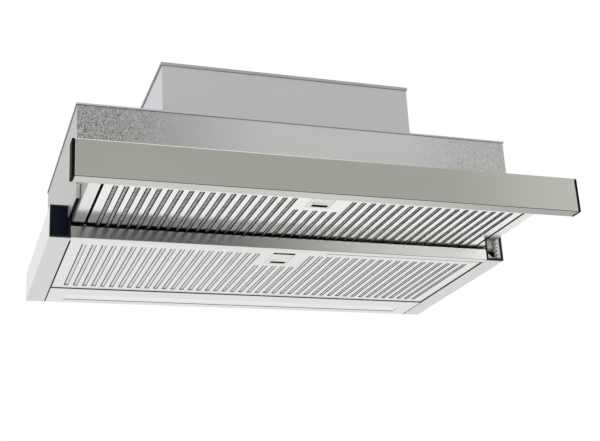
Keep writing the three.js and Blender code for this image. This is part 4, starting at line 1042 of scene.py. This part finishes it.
@dataclass
class LowerFrame:
    """The steel frame with its crossbar, rear strip and lamp."""

    sheet_edge_mm: float = 0.5
    strip_edge_mm: float = 0.9
    lens_edge_mm: float = 0.3
    lip_rise_mm: float = 1.0
    shade_depth_mm: float = 2.2
    shade_from_mm: float = 50.0
    end_shade_mm: float = 1.4

    def build(self) -> None:
        """Rounds the frame's sheets and dresses the lamp."""
        self._member("left", Finish.FOLD)
        self._member("right", Finish.HEM)
        self._crossbar()
        self._rear_strip()
        refined("lamp_lens", Finish.LENS, "hood", self.lens_edge_mm)
        dress(packed("lamp_board"), Finish.BOARD)
        dress(packed("reed_switch"), Finish.WHITE)

    def _member(self, side: str, lip: Finish) -> None:
        """Rounds a side member and paints shade on the lip that faces the fixed filter.

        Args:
            side: "left" or "right".
            lip: The lip's finish.
        """
        member = refined(f"{side}_frame_member", Finish.FRAME_DEPTH, "hood", self.sheet_edge_mm)
        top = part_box("fixed_filter_grille")[1].z + self.lip_rise_mm * MM
        reface(member, lip, lambda place, normal: inward(place, normal) > FACING and place.z < top)

    def _crossbar(self) -> None:
        """Rounds the crossbar and paints shade on its front corner and the right part of its rear edge."""
        bar = refined("front_crossbar", Finish.CROSSBAR, "hood", self.sheet_edge_mm)
        reface(bar, Finish.FRAME_ACROSS, lambda place, normal: normal.z < -FACING)
        low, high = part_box("front_crossbar")
        # painted shade: a thin dark strip along the front's bottom corner
        strip("crossbar_front_painted_shade", low, (high.x, low.y + PAINTED_LINE, low.z + PAINTED_LINE), Finish.HEM, "hood")
        rear, start = high.y - self.shade_depth_mm * MM, self.shade_from_mm * MM
        cut(bar, (0, rear, 0), (0, 1, 0))
        cut(bar, (start, 0, 0), (1, 0, 0))
        # painted shade on the underside along the right part of the rear edge
        reface(
            bar,
            Finish.FOLD,
            lambda place, normal: normal.z < -FACING and place.y > rear and place.x > start,
        )

    def _rear_strip(self) -> None:
        """Rounds the rear strip and paints shade on its front edge and under its two ends."""
        rear = refined("rear_strip", Finish.FRAME_ACROSS, "hood", self.strip_edge_mm)
        # painted shade on the front face and under both ends
        reface(rear, Finish.FOLD, lambda place, normal: normal.y < -FACING)
        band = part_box("rear_strip")[1].x - self.end_shade_mm * MM
        for side in (-1, 1):
            cut(rear, (side * band, 0, 0), (1, 0, 0))
        reface(rear, Finish.RUBBER, lambda place, normal: abs(place.x) > band and normal.z < -FACING)


@dataclass
class EndBlocks:
    """The touch block on the left and the open frame on the right."""

    block_edge_mm: float = 0.35
    panel_edge_mm: float = 0.4
    guide_edge_mm: float = 0.25
    bright_top_mm: float = 3.0

    def build(self) -> None:
        """Rounds the blocks and the touch panel."""
        refined("control_housing", Finish.BLACK, "hood", self.block_edge_mm)
        refined("touch_panel", Finish.TOUCH, "hood", self.panel_edge_mm, 3)
        dress(packed("control_board"), Finish.BOARD)
        frame = refined("right_end_frame", Finish.BLACK, "hood", self.block_edge_mm)
        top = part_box("right_end_frame")[1].z - self.bright_top_mm * MM
        reface(frame, Finish.GALVANISED, lambda place, normal: place.z > top)
        refined("rail_guide", Finish.WHITE, "hood", self.guide_edge_mm)


@dataclass
class Slides:
    """The telescopic slides."""

    edge_mm: float = 0.3

    def build(self) -> None:
        """Dresses both sides' rails and carriages."""
        for side in ("left", "right"):
            refined(f"{side}_fixed_rail", Finish.ZINC, "hood", self.edge_mm)
            refined(f"{side}_middle_rail", Finish.ZINC, f"{side}_middle", self.edge_mm)
            refined(f"{side}_carriage", Finish.WHITE, "tray", self.edge_mm)


@dataclass
class Tray:
    """The drawn-out tray and its fascia."""

    sheet_edge_mm: float = 0.4
    cover_edge_mm: float = 0.2
    fascia_edge_mm: float = 0.9
    cap_edge_mm: float = 0.5
    shade_clearance_mm: float = 0.05
    shade_width_mm: float = 1.7
    shade_thickness_mm: float = 0.1
    pivot_room_mm: float = 20.0

    def build(self) -> None:
        """Rounds the tray's sheets and the fascia."""
        for side in ("left", "right"):
            arm = refined(f"{side}_tray_arm", Finish.TRAY_FRAME, "tray", self.sheet_edge_mm)
            # painted shade: the arm's outer side takes a darker copy of its steel, its inner side near-black
            # steel
            reface(arm, Finish.ARM_SIDE, lambda place, normal: inward(place, normal) < -FACING)
            reface(arm, Finish.FOLD, lambda place, normal: inward(place, normal) > FACING)
        refined("tray_front_bar", Finish.FRAME_ACROSS, "tray", self.sheet_edge_mm)
        refined("tray_rear_bar", Finish.FRAME_ACROSS, "tray", self.sheet_edge_mm)
        refined("tray_cover", Finish.GALVANISED, "tray", self.cover_edge_mm)
        self._fascia()
        dress(packed("tray_magnet"), Finish.MOTOR)
        self._shade_side_gaps()

    def _fascia(self) -> None:
        """Rounds the fascia and its caps, with painted light below and painted lines on its two corners."""
        fascia = refined("fascia", Finish.FASCIA, "tray", self.fascia_edge_mm, 3)
        # painted light: the underside takes a lighter copy of the steel
        reface(fascia, Finish.FASCIA_LIP, lambda place, normal: normal.z < -FACING)
        low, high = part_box("fascia")
        # painted shade: a thin dark strip along the bottom front corner
        strip("fascia_low_painted_shade", low, (high.x, low.y + PAINTED_LINE, low.z + PAINTED_LINE), Finish.FOLD, "tray")
        # painted highlight: a thin near-white strip along the top front corner
        top = (low.x, low.y, high.z - PAINTED_LINE)
        strip("fascia_top_painted_highlight", top, (high.x, low.y + PAINTED_LINE, high.z), Finish.TOP_LINE, "tray")
        for side in ("left", "right"):
            refined(f"{side}_fascia_cap", Finish.GLOSS_BLACK, "tray", self.cap_edge_mm, 3)

    def _shade_side_gaps(self) -> None:
        """Paints the shade in the gaps beside the tray's filter with black strips, short of its pivots."""
        low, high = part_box("tray_filter_grille")
        mesh = bmesh.new()
        near = high.x + self.shade_clearance_mm * MM
        far = near + self.shade_width_mm * MM
        under = low.z + self.shade_clearance_mm * MM
        rear = high.y - self.pivot_room_mm * MM
        for left, right in ((-far, -near), (near, far)):
            block(mesh, (left, low.y, under), (right, rear, under + self.shade_thickness_mm * MM))
        finished("tray_side_gap_shade", mesh, Finish.RUBBER, "tray")


@dataclass
class GreaseFilter:
    """A slotted filter with its mesh and latch.

    The near shadow is the width of the black strip that paints the shade on the left side of a slot,
    and it grows to the right by its growth. The far shadow is the painted shade strip on the slot's
    right side.
    """

    name: str
    sheet: Finish
    face: Finish
    far_shadow_mm: float = 0.2
    gap_shade_end_mm: float = 1.0
    near_shadow_mm: float = 1.35
    near_shadow_growth: float = 0.6
    face_mm: float = 0.1
    sheet_edge_mm: float = 0.08
    latch_edge_mm: float = 0.2
    rim_mm: float = 4.0
    finger_hole_mm: float = 10.0
    grip_mm: float = 1.0
    gap_shade_front_mm: float = 1.0
    gap_shade_inner_mm: float = 1.9
    gap_shade_outer_mm: float = 0.1
    past_crossbar_mm: float = 0.2
    pocket_rear_mm: float = 12.0

    @property
    def body(self) -> str:
        """The body that the filter moves with, which also starts its pieces' names."""
        return f"{self.name}_filter"

    def build(self) -> None:
        """Dresses the grille, the mesh, the back and the latch."""
        self._grille()
        dress(packed(f"{self.body}_mesh"), Finish.MESH)
        dress(packed(f"{self.body}_back"), Finish.FILTER)
        self._latch()
        self._mesh_face()
        self._shade_pocket()
        self._paint_slot_shadows()
        self._shade_edge_gaps()

    def _grille(self) -> None:
        """Rounds the grille and paints shade on its slots' walls, but not on its outer rim."""
        grille = refined(f"{self.body}_grille", self.sheet, self.body, self.sheet_edge_mm)
        low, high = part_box(f"{self.body}_grille")
        rim = self.rim_mm * MM
        reface(
            grille,
            Finish.SLOT_EDGE,
            lambda place, normal: abs(normal.z) < 0.5
            and abs(place.x) < high.x - rim
            and low.y + rim < place.y < high.y - rim,
        )

    def _latch(self) -> None:
        """Rounds the latch and paints shade in its finger hole and on the floor of its grip."""
        latch = refined(f"{self.body}_latch", Finish.LATCH, f"{self.name}_latch", self.latch_edge_mm)
        low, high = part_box(f"{self.body}_latch")
        grip = low.z + self.face_mm * MM + self.grip_mm * MM
        hole = high.y - self.finger_hole_mm * MM
        reface(latch, Finish.SLOT_EDGE, lambda place, normal: abs(normal.z) < 0.5 and place.y > hole)
        reface(latch, Finish.FOLD, lambda place, normal: normal.z < -FACING and place.z > grip)

    def _mesh_face(self) -> None:
        """Lays the mesh's first layer flat on the grille."""
        mesh = merged(f"{self.body}_mesh")
        low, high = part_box(f"{self.body}_mesh")
        face = self.face_mm * MM
        flat = Matrix.Diagonal((1, 1, face / (high.z - low.z), 1))
        raised = Matrix.Translation((0, 0, low.z - 2 * face))
        lowered = Matrix.Translation((0, 0, -low.z))
        bmesh.ops.transform(mesh, matrix=raised @ flat @ lowered, verts=mesh.verts)
        finished(f"{self.body}_mesh_face", mesh, self.face, self.body)

    def _shade_pocket(self) -> None:
        """Closes the latch's pocket above the window with a black sheet that paints its shade."""
        low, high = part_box(f"{self.body}_latch")
        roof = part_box(f"{self.body}_mesh")[1].z + self.face_mm * MM
        corner = (high.x, high.y + self.pocket_rear_mm * MM, roof + self.face_mm * MM)
        strip(f"{self.body}_pocket_painted_shade", (low.x, low.y, roof), corner, Finish.BLACK, self.body)

    def _paint_slot_shadows(self) -> None:
        """Lays black strips along the sides of every slot: painted shadows of the slot walls."""
        sheet = flattened(f"{self.body}_grille")
        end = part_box(f"{self.body}_grille")[1].x - self.rim_mm * MM
        mesh = bmesh.new()
        for wall in sheet.faces:
            if abs(wall.normal.x) < 0.99 or abs(wall.calc_center_median().x) > end:
                continue
            places = [corner.co for corner in wall.verts]
            low = Vector(min(place[k] for place in places) for k in range(3))
            high = Vector(max(place[k] for place in places) for k in range(3))
            if wall.normal.x > 0:
                high.x += self.near_shadow_mm * MM * (1.0 + self.near_shadow_growth * max(0.0, low.x / end))
            else:
                low.x -= self.far_shadow_mm * MM
            block(mesh, (low.x, low.y, low.z + self.face_mm * MM), high)
        sheet.free()
        finished(f"{self.body}_paint_slot_shadows", mesh, Finish.SLOT_EDGE, self.body)

    def _shade_edge_gaps(self) -> None:
        """Paints shade under both side edges of the filter with black strips inside the frame's opening."""
        low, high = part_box(f"{self.body}_grille")
        mesh = bmesh.new()
        edge = min(high.x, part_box("front_crossbar")[1].x + self.past_crossbar_mm * MM)
        near, far = edge - self.gap_shade_inner_mm * MM, edge - self.gap_shade_outer_mm * MM
        front, rear = low.y + self.gap_shade_front_mm * MM, high.y - self.gap_shade_end_mm * MM
        face = self.face_mm * MM
        for left, right in ((-far, -near), (near, far)):
            block(mesh, (left, front, low.z - face), (right, rear, low.z + face))
        finished(f"{self.body}_shade_edge_gaps", mesh, Finish.RUBBER, self.body)


# ---------------------------------------------------------------------------- studio


@dataclass(frozen=True)
class SoftLamp:
    """A square area lamp, in metres and watts."""

    name: str
    place: tuple[float, float, float]
    size: float
    power: float

    def hang(self, aim: Sequence[float]) -> None:
        """Hangs the lamp so that it faces a place.

        Args:
            aim: The place.
        """
        data = bpy.data.lights.new(self.name, "AREA")
        data.size = self.size
        data.energy = self.power
        lamp = bpy.data.objects.new(self.name, data)
        turn = (Vector(aim) - Vector(self.place)).to_track_quat("-Z", "Y").to_matrix().to_4x4()
        lamp.matrix_world = Matrix.Translation(self.place) @ turn
        bpy.context.scene.collection.objects.link(lamp)


@dataclass
class Studio:
    """The floor, the light and the camera, in metres and degrees."""

    floor_height: float = -1.1
    floor_size: float = 14.0
    floor_colour: Colour = (0.86, 0.86, 0.86)
    floor_roughness: float = 0.9
    lamps: tuple[SoftLamp, ...] = (
        SoftLamp("key_lamp", (-2.2, -1.3, 1.0), 1.6, 14.0),
        SoftLamp("low_lamp", (-0.6, -1.4, -0.9), 1.4, 6.0),
    )
    aim: tuple[float, float, float] = (0.0, -0.25, 0.05)
    camera_place: tuple[float, float, float] = (-0.43342, -1.52886, -0.45369)
    azimuth: float = -19.65
    elevation: float = -19.61
    roll: float = -3.24
    focal_pixels: float = 1109.15
    picture_width: int = 600
    sensor_mm: float = 36.0
    view_range: tuple[float, float] = (0.01, 60.0)

    def build(self) -> None:
        """Sets up the stage."""
        self._floor()
        self._world()
        for lamp in self.lamps:
            lamp.hang(self.aim)
        self._camera()

    def _floor(self) -> None:
        """Lays a plain pale floor that shows white to the camera and to mirrors."""
        mesh = bmesh.new()
        matrix = Matrix.Translation((0, 0, self.floor_height))
        bmesh.ops.create_grid(mesh, x_segments=1, y_segments=1, size=self.floor_size / 2, matrix=matrix)
        data = bpy.data.meshes.new("floor")
        mesh.to_mesh(data)
        mesh.free()
        floor = bpy.data.objects.new("floor", data)
        bpy.context.scene.collection.objects.link(floor)
        recipe = Recipe("pale_floor")
        recipe.set("Base Color", self.floor_colour)
        recipe.set("Roughness", self.floor_roughness)
        data.materials.append(recipe.material)

    def _world(self) -> None:
        """Makes the plain white surround, which also gives most of the light."""
        world = bpy.data.worlds.new("surround")
        bpy.context.scene.world = world
        world.use_nodes = True
        background = world.node_tree.nodes["Background"]
        background.inputs["Color"].default_value = (1.0, 1.0, 1.0, 1.0)
        background.inputs["Strength"].default_value = 1.0

    def _camera(self) -> None:
        """Puts the camera at the photograph's viewing angle."""
        azimuth, elevation, roll = (math.radians(v) for v in (self.azimuth, self.elevation, self.roll))
        level = Vector((-math.sin(azimuth), math.cos(azimuth), 0.0))
        ahead = level * math.cos(elevation) - Vector(UP) * math.sin(elevation)
        level_right = ahead.cross(Vector(UP)).normalized()
        level_up = level_right.cross(ahead)
        right = level_right * math.cos(roll) + level_up * math.sin(roll)
        up = level_up * math.cos(roll) - level_right * math.sin(roll)
        data = bpy.data.cameras.new("camera")
        data.sensor_width = self.sensor_mm
        data.lens = self.focal_pixels / self.picture_width * self.sensor_mm
        data.clip_start, data.clip_end = self.view_range
        camera = bpy.data.objects.new("camera", data)
        turn = Matrix((right, up, -ahead)).transposed().to_4x4()
        camera.matrix_world = Matrix.Translation(self.camera_place) @ turn
        bpy.context.scene.collection.objects.link(camera)
        bpy.context.scene.camera = camera


def main() -> None:
    """Builds the hood's looks and the studio."""
    logging.basicConfig(level=logging.INFO, format="%(message)s")
    FRAME.update(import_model())
    bpy.context.scene.view_settings.view_transform = "Standard"
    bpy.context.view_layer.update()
    parts: Sequence[Any] = (
        UpperBody(),
        Outlet(),
        Blower(),
        LowerFrame(),
        EndBlocks(),
        Slides(),
        Tray(),
        GreaseFilter("fixed", Finish.FILTER, Finish.BRIGHT_MESH),
        GreaseFilter("tray", Finish.TRAY_STEEL, Finish.DARK_MESH, far_shadow_mm=0.9, gap_shade_end_mm=24.0),
    )
    for part in parts:
        LOG.info("building %s", type(part).__name__)
        part.build()
    Studio().build()


if __name__ == "__main__":
    main()
